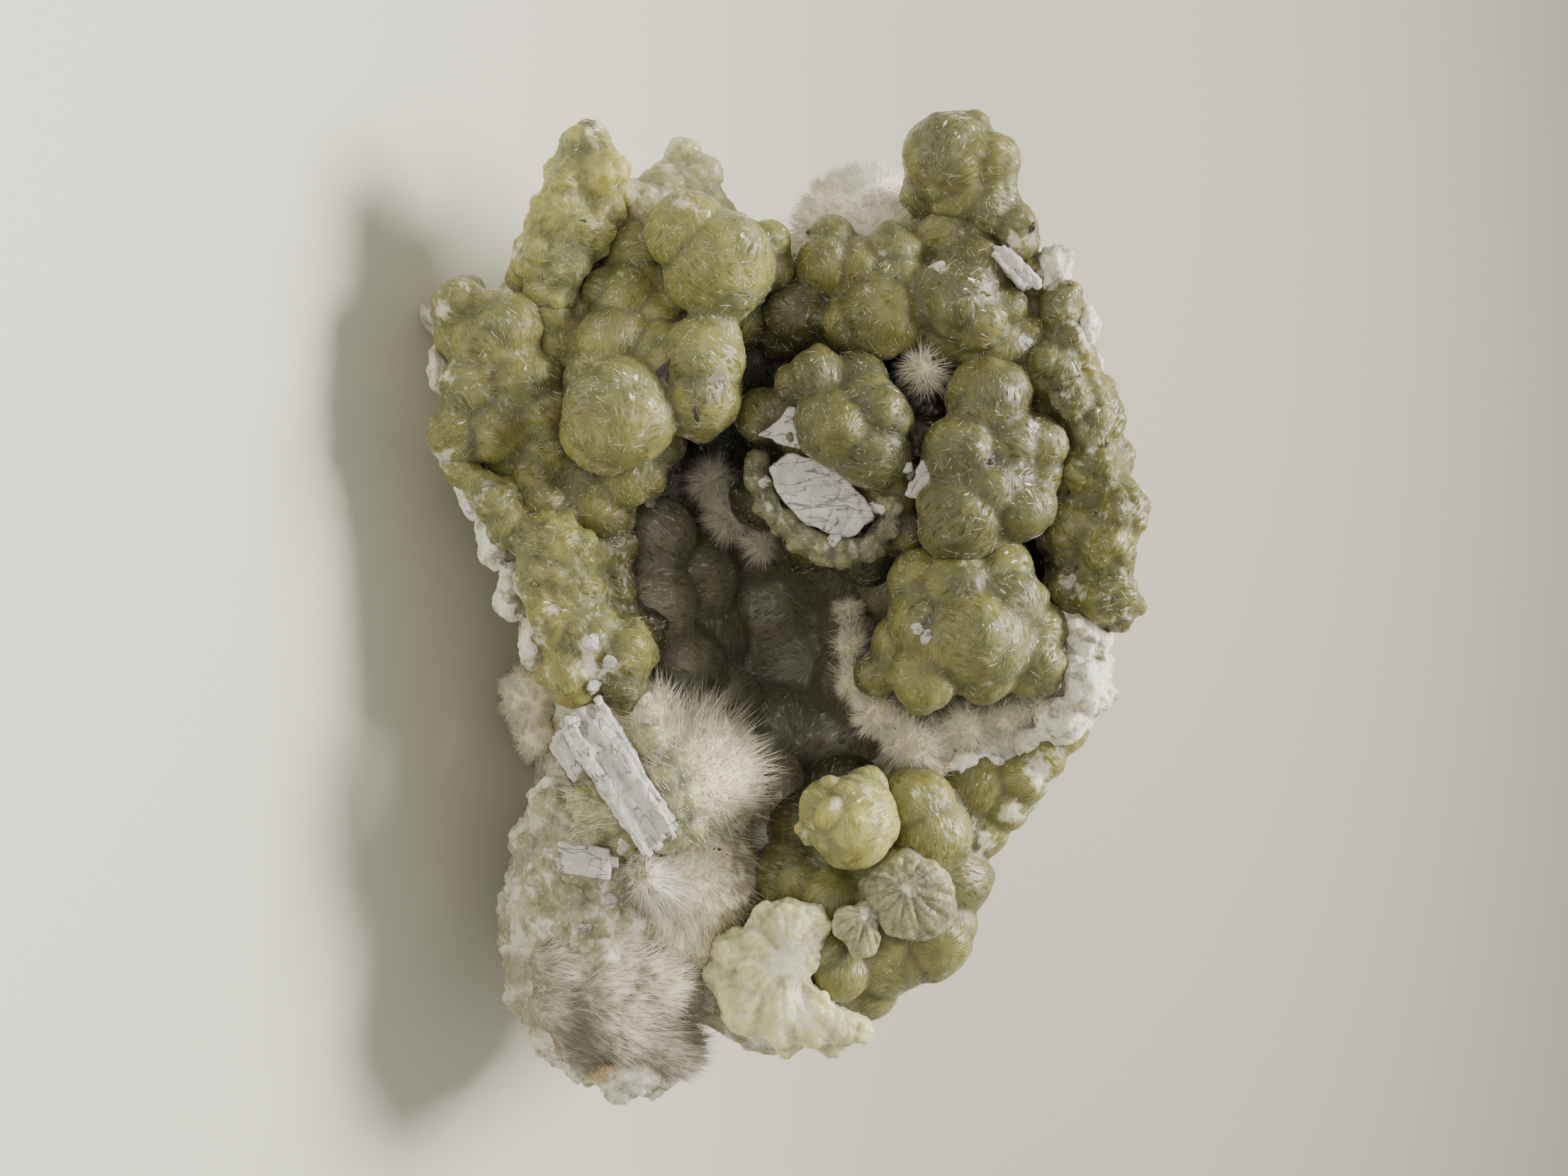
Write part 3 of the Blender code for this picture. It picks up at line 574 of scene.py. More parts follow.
# Where the crust is broken or dusted white, each spot an (across, up, radius, strength).
CHALKY_SPOTS = [
    (-41.5, -17.5, 1.5, 0.30), (-31.0, -24.5, 1.3, 0.35), (-25.5, -30.8, 1.6, 0.35), (-19.5, -31.5, 1.8, 0.5),
    (-11.5, -31.0, 1.4, 0.4), (-8.0, -28.2, 1.4, 0.45), (-4.0, -26.5, 1.6, 0.45), (0.0, -25.2, 1.8, 0.45),
    (4.5, -23.0, 2.0, 0.45), (7.0, -18.0, 2.4, 0.36), (1.5, -19.5, 2.0, 0.28), (7.2, -15.7, 1.4, 0.5),
    (5.2, -17.4, 1.2, 0.5), (-39.5, -8.0, 1.6, 0.40), (-36.0, -9.0, 2.4, 0.3), (-31.9, 0.6, 1.0, 0.25),
    (-22.4, 22.3, 1.0, 0.5), (-14.7, 22.7, 0.8, 0.5), (-28.6, 24.2, 1.6, 0.5), (-23.0, 27.4, 1.4, 0.5),
    (-18.0, 25.2, 1.3, 0.3), (-9.0, 29.5, 1.0, 0.3), (-11.5, 26.5, 1.2, 0.25), (0.4, 26.0, 1.4, 0.45),
    (-31.5, 21.0, 1.3, 0.3), (-29.0, 14.0, 1.0, 0.4), (-8.2, 9.5, 1.6, 0.25), (-6.5, 11.2, 1.6, 0.25),
    (-1.0, 25.4, 1.0, 0.4), (2.0, 31.0, 1.1, 0.3), (-20.6, 25.6, 2.0, 0.18), (-14.0, 28.6, 2.2, 0.16),
    (-6.6, 30.4, 2.2, 0.18), (1.6, 28.4, 2.0, 0.16), (-24.8, 25.4, 1.8, 0.18),
]

prehnite = prehnite_finish(
    "waxy_prehnite", (0.138, 0.136, 0.048, 1.0), (0.268, 0.242, 0.064, 1.0), (0.42, 0.39, 0.19, 1.0)
)
# Each cluster has its lumps, seed, tone, jaggedness, the filling of its creases and its plumpness.
# The tone is partly a cluster's own colour and partly painted light and shade: lighter on the horn, darker
# deep in the vug.
for name, lumps, seed, tone, jag, fill, plump in (
    ("left_horn", LEFT_HORN, 11, 1.6, 1.0, 1.1, 0.96),
    ("left_mass", LEFT_MASS, 19, 0.82, 0.5, 0.55, 1.02),
    ("left_rim", LEFT_RIM, 12, 0.95, 0.9, 0.7, 1.02),
    ("crown_and_balls", CROWN + LEFT_BALLS, 13, 0.96, 0.0, 0.2, 1.02),
    ("top_wall", TOP_WALL, 14, 0.70, 0.2, 0.3, 1.06),
    ("right_horn", RIGHT_HORN, 25, 0.80, 0.4, 0.35, 1.04),
    ("right_edge_crust", RIGHT_EDGE, 15, 0.74, 1.1, 0.8, 1.0),
    ("centre_cluster", CENTRE_CLUSTER, 16, 0.56, 0.2, 0.35, 1.1),
    ("right_cluster", RIGHT_CLUSTER, 17, 0.57, 0.1, 0.4, 1.12),
    ("lower_cluster", LOWER_CLUSTER, 18, 0.80, 0.1, 0.4, 1.1),
):
    waves = [("CLOUDS", 3.6, 0.35), ("CLOUDS", 1.2, 0.16), ("VORONOI", 1.6, -0.16), ("CLOUDS", 0.5, 0.09)]
    if jag:
        waves += [("VORONOI", 2.6, -jag), ("CLOUDS", 0.8, 0.4 * jag)]
    grow(name, "prehnite_crust", prehnite, lumps, seed, 0.27, waves, CHALKY_SPOTS,
         tone=tone, fill=fill, plump=plump)


# The crust goes on below the okenite mat, down the low rim and round the bottom of the vug.
LOW_RIM = [
    (15.4, 23.4, 6.5, 2.0), (17.4, 21.6, 6.5, 2.2), (19.6, 20.0, 7, 2.2), (21.6, 17.6, 8, 2.6),
    (12.6, 25.0, 7.5, 2.4), (18.0, 17.6, 8.5, 3.2), (21.5, 15.6, 8, 3.0),
]
BOTTOM_CLUSTER = [
    (19.9, 12, 5, 3.3), (22.3, 13.4, 4.5, 3.3), (26.5, 15.4, 7, 3.1), (31.6, 13.4, 6, 3.4),
    (33, 11, 6, 2.8), (30.6, 15.0, 6, 2.3), (27.8, 11.3, 5.6, 3.5), (31, 6.5, 4.6, 2.4), (26.3, 1, 8, 3.6),
    (28.2, 4.1, 5, 2.6), (34.8, 5.1, 4, 2.4), (36.4, 7.5, 8, 2.6), (32.6, 3.5, 4, 2.4),
    (27.5, 10, 8, 4.8), (32, 8.5, 8, 4.6), (23, 10, 8, 4.2), (31.5, 3, 8.5, 4.2), (21.8, 2.2, 10.5, 3.4),
    (18.5, 5.5, 11.5, 3.4), (23.5, 5.5, 9, 3.8),
]
waves = [("CLOUDS", 3.6, 0.5), ("CLOUDS", 1.2, 0.14), ("CLOUDS", 0.5, 0.07)]
grow("bottom_cluster", "prehnite_bottom_cluster", prehnite, BOTTOM_CLUSTER + LOW_RIM, 21,
     0.27, waves, [
         (16.5, 23.2, 1.8, 0.5), (20.0, 20.6, 1.8, 0.45), (22.8, 18.6, 1.6, 0.4), (25.2, 7.8, 1.2, 0.35),
     ], tone=0.88, buds=4, plump=1.10)

# The bud: one smooth round prehnite that stands clear of the rest, with thin scales lapped over it.
BUD = [
    (21.1, 6.2, 1.0, 4.1), (20, 4.1, 0.8, 2.8), (22.5, 6, 0.8, 3), (18.2, 7.4, 2.8, 2.1), (22, 2.4, 1, 1.2),
    (20.6, 4.6, -1.2, 1.9), (22.4, 4.4, -0.8, 1.6), (19.2, 5.8, -0.6, 1.8), (21.8, 1.5, 0.6, 0.6),
    (22.8, 2.2, 0.8, 0.6), (18.4, 4.2, 0.2, 1.4),
]
waves = [("CLOUDS", 1.6, 0.3), ("CLOUDS", 0.5, 0.08)]
grow("bud", "prehnite_bud", prehnite, BUD, 22, 0.18, waves, [
    (19.3, 4.6, 1.0, 0.32), (18.6, 7.8, 1.2, 0.3), (22.3, 2.0, 0.8, 0.35),
], tone=1.5, buds=5, swell=0.08, fill=0.1)

# The fan: pale prehnite blades that radiate from one white centre and end in blunt fingers.
FAN = [
    (30.8, 0.6, 1.4, 2.5), (34.9, -2.2, 1.8, 2.4), (33.6, 0.6, 1.8, 2.4), (35, -4.3, 3.5, 2.5),
    (37.8, -3.2, 2.2, 2.7), (38.6, -0.4, 2, 2.9), (39.1, 2.4, 2, 2.6), (39.8, 4.9, 2.2, 1.9),
    (40.1, 7.0, 2.3, 1.2), (41.4, 0.5, 2.3, 1.1), (41.3, 4.3, 2.3, 1.1), (36.5, -0.5, 5, 3.2),
    (30.2, -1.0, 1.8, 1.9), (30.4, 2.2, 1.8, 1.9), (32.4, -1.6, 1.8, 2.2), (32.6, 2.0, 2.0, 1.6),
    (33.2, -4.2, 3.0, 2.3),
]
FAN_RAYS = ((4.5, 0.6, 0.3, 0.5), (13.0, 0.0, -0.4, 0.5))
pale_prehnite = prehnite_finish(
    "pale_prehnite", (0.36, 0.345, 0.19, 1.0), (0.50, 0.47, 0.26, 1.0), (0.68, 0.66, 0.50, 1.0),
    depth=2.2, dust=0.12,
)
waves = [("VORONOI", 2.2, -0.8), ("CLOUDS", 1.0, 0.5), ("CLOUDS", 0.5, 0.2)]
grow("fan", "prehnite_fan", pale_prehnite, FAN, 23, 0.2, waves, [
    (33.6, 0.4, 1.9, 0.6), (36.0, 0.6, 1.6, 0.4), (38.0, 1.8, 1.5, 0.3), (31.0, 1.5, 1.8, 0.25),
], tone=1.45, fill=0.7, rays=((33.6, 0.4), 0.8, 0.6, FAN_RAYS, 0.55, 3.0, 0.32))

# The second horn, behind the left one: the same crust, but pale and broken, nearly white.
waves = [("VORONOI", 2.8, -1.1), ("CLOUDS", 0.9, 0.5), ("CLOUDS", 0.5, 0.2)]
grow("back_horn", "prehnite_crust", pale_prehnite, BACK_HORN, 20, 0.25, waves, [
    (-38.6, -8.6, 2.6, 0.18), (-35.0, -11.5, 3.0, 0.12),
], tone=1.1, fill=0.6)

# The broken disc and the clear chunk: two radiating prehnites cut across, grey and glassy inside.
DISC = [(27.8, 11.3, 2.0, 3.9), (27.0, 10.2, 2.6, 3.2), (28.8, 12.0, 2.6, 3.2)]
CHUNK = [(30.4, 6.0, 0.6, 1.7), (31.8, 7.2, 0.8, 1.6), (29.6, 7.6, 1.0, 1.4)]
DISC_RAYS = ((5.5, 0.0, 0.4, 0.6), (12.0, 0.0, -0.5, 0.4))
glassy_prehnite = prehnite_finish(
    "glassy_prehnite", (0.21, 0.205, 0.115, 1.0), (0.34, 0.325, 0.18, 1.0), (0.58, 0.57, 0.42, 1.0)
)
waves = [("VORONOI", 1.8, -0.7), ("CLOUDS", 0.6, 0.2)]
for name, lumps, seed, middle in (
    ("broken_disc", DISC, 26, (27.4, 11.2)), ("clear_chunk", CHUNK, 27, (29.6, 7.4)),
):
    grow(name, "prehnite_bottom_cluster", glassy_prehnite, lumps, seed, 0.2, waves,
         [(*middle, 0.8, 0.35)], buds=4, rays=(middle, 0.6, 0.7, DISC_RAYS, 0.5, 2.0, 0.5))

# Broken crust: what is left of it on the front of the big okenite ball, yellow-green, and the
# jagged, see-through shards that stand round the white cast.
BALL_CRUST = [
    (14.0, -12.0, 0.4, 1.9), (16.4, -10.4, 0.4, 2.3), (19.0, -9.4, 0.4, 2.3), (21.6, -8.8, 0.8, 1.9),
    (18.0, -11.4, 0.6, 2.0), (22.4, -10.6, 1.0, 1.7), (20.6, -15.4, 1.0, 2.0), (19.6, -17.6, 1.2, 2.0),
    (21.8, -17.0, 1.4, 1.8), (22.6, -14.4, 1.2, 1.6),
]
BROKEN_EDGE = [
    (-11.4, -2.4, 4.4, 1.2), (-9.6, -2.2, 4.2, 1.2), (-7.4, -1.4, 4.0, 1.3), (-6.0, 0.0, 3.8, 1.4),
    (-4.4, 1.6, 3.6, 1.4), (-3.4, 3.4, 3.4, 1.5), (-3.2, 5.6, 3.4, 1.5), (-3.8, 7.8, 3.4, 1.4),
    (-5.6, 9.4, 3.0, 1.3), (-7.6, 9.6, 2.4, 1.1), (-13.6, 0.6, 2.6, 0.9), (-13.2, 3.4, 2.2, 0.9),
]
BALL_DUST = [(14.5, -11.0, 1.5, 0.2), (22.5, -9.0, 1.2, 0.2), (20.5, -16.5, 1.5, 0.15)]
EDGE_DUST = [(-3.4, 4.6, 2.0, 0.25), (-6.8, -0.8, 1.5, 0.25)]
waves = [("VORONOI", 1.8, -0.8), ("CLOUDS", 0.9, 0.4), ("CLOUDS", 0.5, 0.2)]
for name, lumps, seed, tone, dust in (
    ("ball_crust", BALL_CRUST, 28, 1.15, BALL_DUST), ("broken_edge", BROKEN_EDGE, 30, 0.62, EDGE_DUST),
):
    grow(name, "prehnite_crust", glassy_prehnite, lumps, seed, 0.22, waves, dust,
         tone=tone, painted_shade=0.4, buds=5, fill=0.5)

# The lining: the same prehnite deep in the vug, darker and greyer, in broad round swells.
LINING = [
    (-4.9, -11.8, 13, 3.8), (1.5, -12.4, 13, 4.4), (7.5, -9.5, 16, 4.2), (-1, -9, 20, 4.8),
    (4.5, -8.5, 22, 5),
    (11, -6.5, 20, 4.6), (13.8, -0.6, 23, 5), (14, 4.8, 22, 4.6), (1.5, -1, 30, 6.4), (7.8, 1, 30, 6.4),
    (-4.5, -3.5, 27, 5.6), (-3.5, 4, 25, 5.2), (3, 8.5, 22, 5), (9.2, 7.6, 21, 4.8), (-1, 10.5, 15.5, 4),
    (-4, 9, 19, 4.2), (17.5, -3.5, 15, 3.6), (17.5, -1.2, 12.5, 3.0), (19.6, 0.2, 12.5, 3.0),
    (21.6, 0.8, 12, 2.8),
]
UPPER_LINING = [
    (-10, -10.5, 15, 4.2), (-9, -6, 22, 5), (-14, -5.5, 18, 4.4), (-19, -2, 16, 3.6), (-20.7, -3.1, 12, 3.6),
    (-19.0, 0.6, 12.5, 3.2), (-16.5, 12.4, 9, 3.0),
]
dark_prehnite = prehnite_finish(
    "dark_druse", (0.125, 0.112, 0.070, 1.0), (0.205, 0.185, 0.112, 1.0), (0.34, 0.32, 0.25, 1.0), depth=1.0
)
waves = [("CLOUDS", 3.6, 0.4), ("CLOUDS", 1.2, 0.15)]
# The upper lining's low tone is painted shade, where it lies in the dark under the clusters.
for name, lumps, seed, tone in (("vug_lining", LINING, 24, 1.0), ("upper_lining", UPPER_LINING, 29, 0.3)):
    grow(name, "prehnite_lining", dark_prehnite, lumps, seed, 0.45, waves,
         tone=tone, painted_shade=0.0, buds=4, swell=0.05, fill=0.4, share=0.5)


# The okenite: balls, mats and tufts of straight white needles, so thick that only their tips show.
# Each has a cream velvet body where the needles stand close, and loose tips all round its edge.
FRONT_BALL = [(17.2, -9.2, 8.2, 8.3), (26.6, -9.2, 8.2, 8.0), (11.6, -12.4, 5.5, 4.0), (31.8, -9.4, 6, 5.2)]
BOTTOM_FUR = [
    (35.5, -11.6, 3.4, 4.0), (39.4, -15.0, 3.8, 4.0), (37.6, -20, 3.6, 3.8), (41.4, -10.6, 4.6, 3.4),
    (34.0, -20.4, 3.4, 3.4), (37.0, -15.6, 3.2, 4.4), (41.2, -18.6, 4.6, 3.0), (33.0, -15.6, 3.4, 3.4),
]
RIGHT_MAT = [
    (2, 6.0, 15, 2.2), (5.2, 6.0, 12.8, 2.4), (8.6, 6.2, 10.5, 2.5), (11.4, 8.6, 8.5, 3), (14, 11.8, 7, 3.4),
    (16.4, 13.4, 7.5, 2.8), (12.6, 16.5, 7, 3.2), (11.8, 20.2, 6.5, 2.8), (10.6, 23.6, 6, 2.6),
    (9.4, 26.6, 5.4, 2.2),
]
CAVITY_TUFT = [(-9.6, -6.6, 10.5, 2.7), (-6.6, -5.0, 10.5, 2.7), (-4.2, -1.8, 10.5, 2.4)]
SMALL_TUFT = [(-19.9, 12.6, 3.6, 2.2), (-18.6, 13.2, 4.2, 1.6)]
HAIR_CLUMP = [(26.2, -12.2, 0.8, 1.9), (24.4, -13.2, 1.2, 1.5)]
BACK_BALL = [(-31.6, 7.2, 16, 7.2)]
BASE_BALL = [(9.8, -22.8, 18.5, 3.3), (13.4, -22.4, 19, 2.6)]


def okenite_finish(name, root, tip):
    """Dry cream fibres, whiter towards their tips, with a soft sheen and no gloss."""
    made, tree, shader, body = new_finish(name)
    parts = channels(tree, kept_on(tree, "growth")["Color"])
    mixed = calc(tree, "ADD", parts["Red"], noise(tree, body, 260.0, 3.0))
    dusky = (root[0] * 0.74, root[1] * 0.70, root[2] * 0.62, 1.0)
    colour = blend(tree, ramp(tree, mixed, 0.55, 1.25), dusky, root)
    feed(tree, shader, {
        "Base Color": blend(tree, ramp(tree, parts["Green"], 0.1, 1.0, 0.0, 0.85), colour, tip),
        "Roughness": 0.62, "Specular IOR Level": 0.35,
        "Sheen Weight": 0.2, "Sheen Roughness": 0.4, "Sheen Tint": (1.0, 0.95, 0.82, 1.0),
    })
    return made


def needles(name, skin, count, reach, width, seed, stray, rise, flow, lock=26, lie=0.0):
    """Needles on a skin: thin, straight, three-sided spikes, leaning together in small locks.

    They stray from the flow, rise from the skin or lie down on it, and a lock has so many needles.
    """
    chance = np.random.default_rng(seed)
    mesh = skin.data
    mesh.calc_loop_triangles()
    corners = np.empty(len(mesh.loop_triangles) * 3, dtype=np.int32)
    mesh.loop_triangles.foreach_get("vertices", corners)
    corners = corners.reshape(-1, 3)
    points = points_of(mesh)
    facing = points_of(mesh, "normal")
    first, second, third = points[corners[:, 0]], points[corners[:, 1]], points[corners[:, 2]]
    area = np.linalg.norm(np.cross(second - first, third - first), axis=1)
    picked = chance.choice(len(corners), size=count, p=area / area.sum())
    share = chance.uniform(size=(count, 2))
    over = share.sum(axis=1) > 1.0
    share[over] = 1.0 - share[over]
    foot = (first[picked] + share[:, :1] * (second[picked] - first[picked])
            + share[:, 1:] * (third[picked] - first[picked]))
    out = facing[corners[picked, 0]]
    way = chance.normal(size=(count, 3)) * stray
    if flow is not None:
        way += flow(foot)
    way += out * (rise - lie * np.einsum("ij,ij->i", way, out))[:, None]
    way /= np.linalg.norm(way, axis=1)[:, None]
    length = reach * MM * chance.uniform(0.45, 1.0, count) ** 1.2
    tip = foot + way * length[:, None]
    guides = chance.choice(count, size=max(1, count // lock), replace=False)
    near = KDTree(len(guides))
    for index in guides:
        near.insert(foot[index], int(index))
    near.balance()
    guide = np.array([near.find(place)[1] for place in foot])
    tip += (tip[guide] - tip) * chance.uniform(0.2, 0.75, count)[:, None]
    side = np.cross(way, chance.normal(size=(count, 3)))
    side /= np.linalg.norm(side, axis=1)[:, None]
    other = np.cross(way, side)
    thick = width * MM * chance.uniform(0.6, 1.0, count)[:, None]
    foot = foot - way * 0.25 * MM
    spikes = np.empty((count, 4, 3))
    for step in range(3):
        turn = step * math.tau / 3.0
        spikes[:, step] = foot + thick * (math.cos(turn) * side + math.sin(turn) * other)
    spikes[:, 3] = tip
    faces = np.array(((0, 1, 3), (1, 2, 3), (2, 0, 3)))[None] + (np.arange(count) * 4)[:, None, None]
    piece = triangles(name, spikes.reshape(-1, 3), faces.reshape(-1, 3))
    marks = np.ones((count, 4, 4), dtype=np.float32)
    tint = 0.7 * chance.uniform(0.0, 1.0, count)[guide] + 0.3 * chance.uniform(0.0, 1.0, count)
    marks[:, :, 0] = tint[:, None]
    marks[:, :3, 1] = 0.0
    keep(piece, "growth", marks)
    return piece


def away_from(middle, strength):
    """A flow of fibres away from one place, as on a brushed ball."""
    start = np.array(stand(*middle))

    def flow(feet):
        off = feet - start
        return strength * off / np.linalg.norm(off, axis=1)[:, None]
    return flow


def puff(name, node, lumps, seed, finish, inset, coats, voxel=0.4, fill=1.2):
    """One okenite growth: a velvet body and its coats of needles.

    A coat is (count, reach, width, stray, rise, flow).
    """
    places = np.array([tuple(stand(across, up, into)) for across, up, into, _ in lumps])
    radii = [(radius * (1.0 + into / SIGHT_DISTANCE) - inset) * MM for _, _, into, radius in lumps]
    waves = [("CLOUDS", 3.0, 0.7), ("CLOUDS", 1.2, 0.5)]
    body = knit(name, (places, np.array(radii)), voxel, waves, fill=fill)
    marks = np.full((len(body.data.vertices), 4), 0.5, dtype=np.float32)
    marks[:, 1] = 0.15
    keep(body, "growth", marks)
    settle(body, finish, node)
    for index, (count, reach, width, stray, rise, flow) in enumerate(coats):
        label = name + "_needles_" + str(index)
        coat = needles(label, body, count, reach, width, seed + index, stray, rise, flow)
        settle(coat, finish, node)


cream_okenite = okenite_finish("cream_okenite", (0.98, 0.89, 0.67, 1.0), (1.0, 0.97, 0.82, 1.0))
dusky_okenite = okenite_finish("dusky_okenite", (0.53, 0.48, 0.375, 1.0), (0.68, 0.63, 0.51, 1.0))
white_okenite = okenite_finish("white_okenite", (1.0, 0.94, 0.80, 1.0), (1.0, 0.99, 0.92, 1.0))
brushed = away_from((20.0, -10.0, -4.0), 1.0)
to_the_right = away_from((36.0, -40.0, 4.0), 1.2)
clump = away_from((25.0, -14.0, -3.0), 1.0)
puff("front_ball", "okenite_front_ball", FRONT_BALL, 31, cream_okenite, 1.2, (
    (22000, 1.5, 0.055, 0.22, 0.22, brushed), (5200, 4.8, 0.055, 0.34, 0.5, brushed),
))
# Longer needles lie on the broken crust of the ball, and fine white fibres, partly painted glints, on all the
# green crust.
ball_crust = bpy.data.objects["ball_crust"]
coat = needles("ball_crust_needles", ball_crust, 1300, 2.4, 0.05, 29, 0.45, 0.12, brushed)
settle(coat, white_okenite, "okenite_front_ball")
for name, count in (
    ("left_horn", 900), ("left_mass", 1500), ("left_rim", 900), ("crown_and_balls", 2300),
    ("top_wall", 1300), ("right_horn", 500), ("right_edge_crust", 900), ("centre_cluster", 900),
    ("right_cluster", 900), ("lower_cluster", 900),
):
    coat = needles(name + "_fibres", bpy.data.objects[name], count, 1.2, 0.028, 71, 1.0, 0.05, None, 3, 1.0)
    settle(coat, white_okenite, "prehnite_crust")
puff("hair_clump", "okenite_front_ball", HAIR_CLUMP, 38, white_okenite, 0.6, (
    (3600, 5.0, 0.06, 0.35, 0.4, clump),
))
puff("bottom_fur", "okenite_bottom_fur", BOTTOM_FUR, 32, dusky_okenite, 1.0, (
    (17000, 2.4, 0.05, 0.26, 0.25, to_the_right), (2600, 4.2, 0.05, 0.4, 0.5, to_the_right),
))
puff("right_mat", "okenite_right_mat", RIGHT_MAT, 33, cream_okenite, 1.5, (
    (16500, 2.1, 0.05, 0.55, 0.8, None), (2600, 3.6, 0.045, 0.7, 0.7, None),
))
puff("cavity_tuft", "okenite_cavity_tuft", CAVITY_TUFT, 34, dusky_okenite, 1.8, (
    (9000, 3.4, 0.045, 0.6, 0.8, None),
), fill=0.6)
puff("small_tuft", "okenite_small_tuft", SMALL_TUFT, 35, cream_okenite, 1.3, (
    (1500, 3.9, 0.05, 0.6, 0.8, None),
), voxel=0.3, fill=0.4)
puff("back_ball", "okenite_back_ball", BACK_BALL, 36, white_okenite, 1.2, (
    (6500, 1.9, 0.07, 0.35, 1.0, None),
))
puff("base_ball", "okenite_base_ball", BASE_BALL, 37, cream_okenite, 0.9, (
    (3500, 1.5, 0.07, 0.35, 1.0, None),
))


# The laumontite: chalky white blades of many thin laths side by side, cracked along their length.
# They lie on the okenite and prehnite, held by a little crust under them.
# Each blade is (start, end, width, thickness), its ends (across, up, into) on the face.
LONG_PRISM = ((11.0, -18.6, -1.4), (23.3, -10.8, -1.6), 4.2, 2.8)
SHORT_PRISM = ((13.4, -20.7, -0.6), (16.9, -18.1, -0.8), 2.0, 2.0)
FLAT_PRISM = ((24.2, -20.4, -0.2), (25.0, -15.2, -0.4), 2.6, 1.8)
TOP_BUNDLE = ((-30.7, 19.2, 0.6), (-27.2, 22.7, 1.2), 1.7, 1.7)
RIGHT_FLAKE = ((-11.6, 13.4, 0.8), (-8.0, 11.8, 1.6), 1.7, 1.0)
chalk, tree, shader, body = new_finish("chalky_laumontite")
lath = kept_on(tree, "fibre")["Vector"]
patch = noise(tree, body, 330.0, 4.0, 0.6)
grain = noise(tree, body, 2600.0, 3.0, 0.65)
split = noise(tree, squeezed(tree, lath, (0.8, 0.16, 0.5)), 1.0)
cross = noise(tree, squeezed(tree, lath, (0.3, 0.55, 0.3)), 1.0)
colour = blend(tree, ramp(tree, patch, 0.35, 0.7), (0.55, 0.52, 0.48, 1.0), (0.72, 0.69, 0.65, 1.0))
colour = blend(tree, ramp(tree, grain, 0.35, 0.55, 0.25, 0.0), colour, (0.44, 0.42, 0.40, 1.0))
height = grain
for lines, narrow, wide, depth in ((split, 0.003, 0.014, 0.8), (cross, 0.001, 0.004, 0.5)):
    off = calc(tree, "ABSOLUTE", calc(tree, "SUBTRACT", lines, 0.5))
    colour = blend(tree, ramp(tree, off, narrow, wide, depth, 0.0), colour, (0.16, 0.14, 0.13, 1.0))
    height = calc(tree, "ADD", height, ramp(tree, off, narrow, wide))
bump = wire(tree, "ShaderNodeBump", {"Height": height, "Strength": 0.7, "Distance": 0.14 * MM})
feed(tree, shader, {
    "Base Color": colour, "Normal": bump.outputs["Normal"], "Roughness": 0.75, "Subsurface Weight": 0.25,
    "Subsurface Radius": (1.0, 0.98, 0.92), "Subsurface Scale": 0.4 * MM,
})


# Skins of white pieces are made at this step, in millimetres.
CHALK_STEP = 0.15


def drawn(name, bm):
    """A piece from what was drawn in a bmesh."""
    mesh = bpy.data.meshes.new(name)
    bm.to_mesh(mesh)
    bm.free()
    return piece_from(name, mesh)


def weather(piece, bite):
    """Joins what overlaps, softens its edges and eats its surface away a little."""
    skin_over(piece, CHALK_STEP)
    soften(piece, 1)
    ripple(piece, [("CLOUDS", 1.8, bite * 1.3), ("VORONOI", 1.1, -bite * 0.7), ("CLOUDS", 0.4, bite * 0.5)])
    thin(piece, 0.6)


def chalk_piece(piece, node, start, axes):
    """Finishes a white piece, whose cracks run along its own directions."""
    own = (points_of(piece.data) - np.array(start)) @ np.array([tuple(axis) for axis in axes]).T / MM
    keep(piece, "fibre", own)
    settle(piece, chalk, node)


def blade(name, node, ends, laths, seed):
    """Laths laid side by side, a little out of step, then weathered together."""
    start, end, width, thickness = ends
    first = stand(*start)
    last = stand(*end)
    along = (last - first).normalized()
    side = along.cross(sight).normalized()
    inward = side.cross(along)
    axes = Matrix((side, along, inward)).transposed().to_4x4()
    chance = np.random.default_rng(seed)
    bm = bmesh.new()
    pitch = width / laths
    layers = max(1, round(thickness))
    for lane in range(laths):
        for layer in range(layers):
            slip = chance.uniform(-0.5, 0.5) * MM
            length = (last - first).length / MM * chance.uniform(0.80, 1.0)
            middle = (first + last) / 2 + along * slip + side * ((lane + 0.5 - laths / 2) * pitch * MM)
            depth = (layer + 0.5 - layers / 2) * thickness / layers + chance.uniform(-0.22, 0.22)
            middle += inward * depth * MM
            broad = pitch * chance.uniform(0.80, 1.35)
            deep = thickness / layers * chance.uniform(0.9, 1.05)
            size = Matrix.Diagonal((broad, length, deep, 1.0)) * MM
            size[3][3] = 1.0
            swing = Matrix.Rotation(chance.uniform(-0.045, 0.045), 4, "Z")
            tip_up = Matrix.Rotation(chance.uniform(-0.03, 0.03), 4, "X")
            place = Matrix.Translation(middle) @ axes @ (swing @ tip_up) @ size
            bmesh.ops.create_cube(bm, size=1.0, matrix=place)
    piece = drawn(name, bm)
    weather(piece, 0.38)
    chalk_piece(piece, node, first, (side, along, inward))


for name, node, ends, laths, seed in (
    ("long_blade", "laumontite_long_prism", LONG_PRISM, 8, 41),
    ("short_blade", "laumontite_short_prism", SHORT_PRISM, 3, 42),
    ("flat_blade", "laumontite_flat_prism", FLAT_PRISM, 3, 43),
    ("top_splinters", "laumontite_top_bundle", TOP_BUNDLE, 5, 44),
    ("right_splinter", "laumontite_right_flake", RIGHT_FLAKE, 3, 45),
):
    blade(name, node, ends, laths, seed)

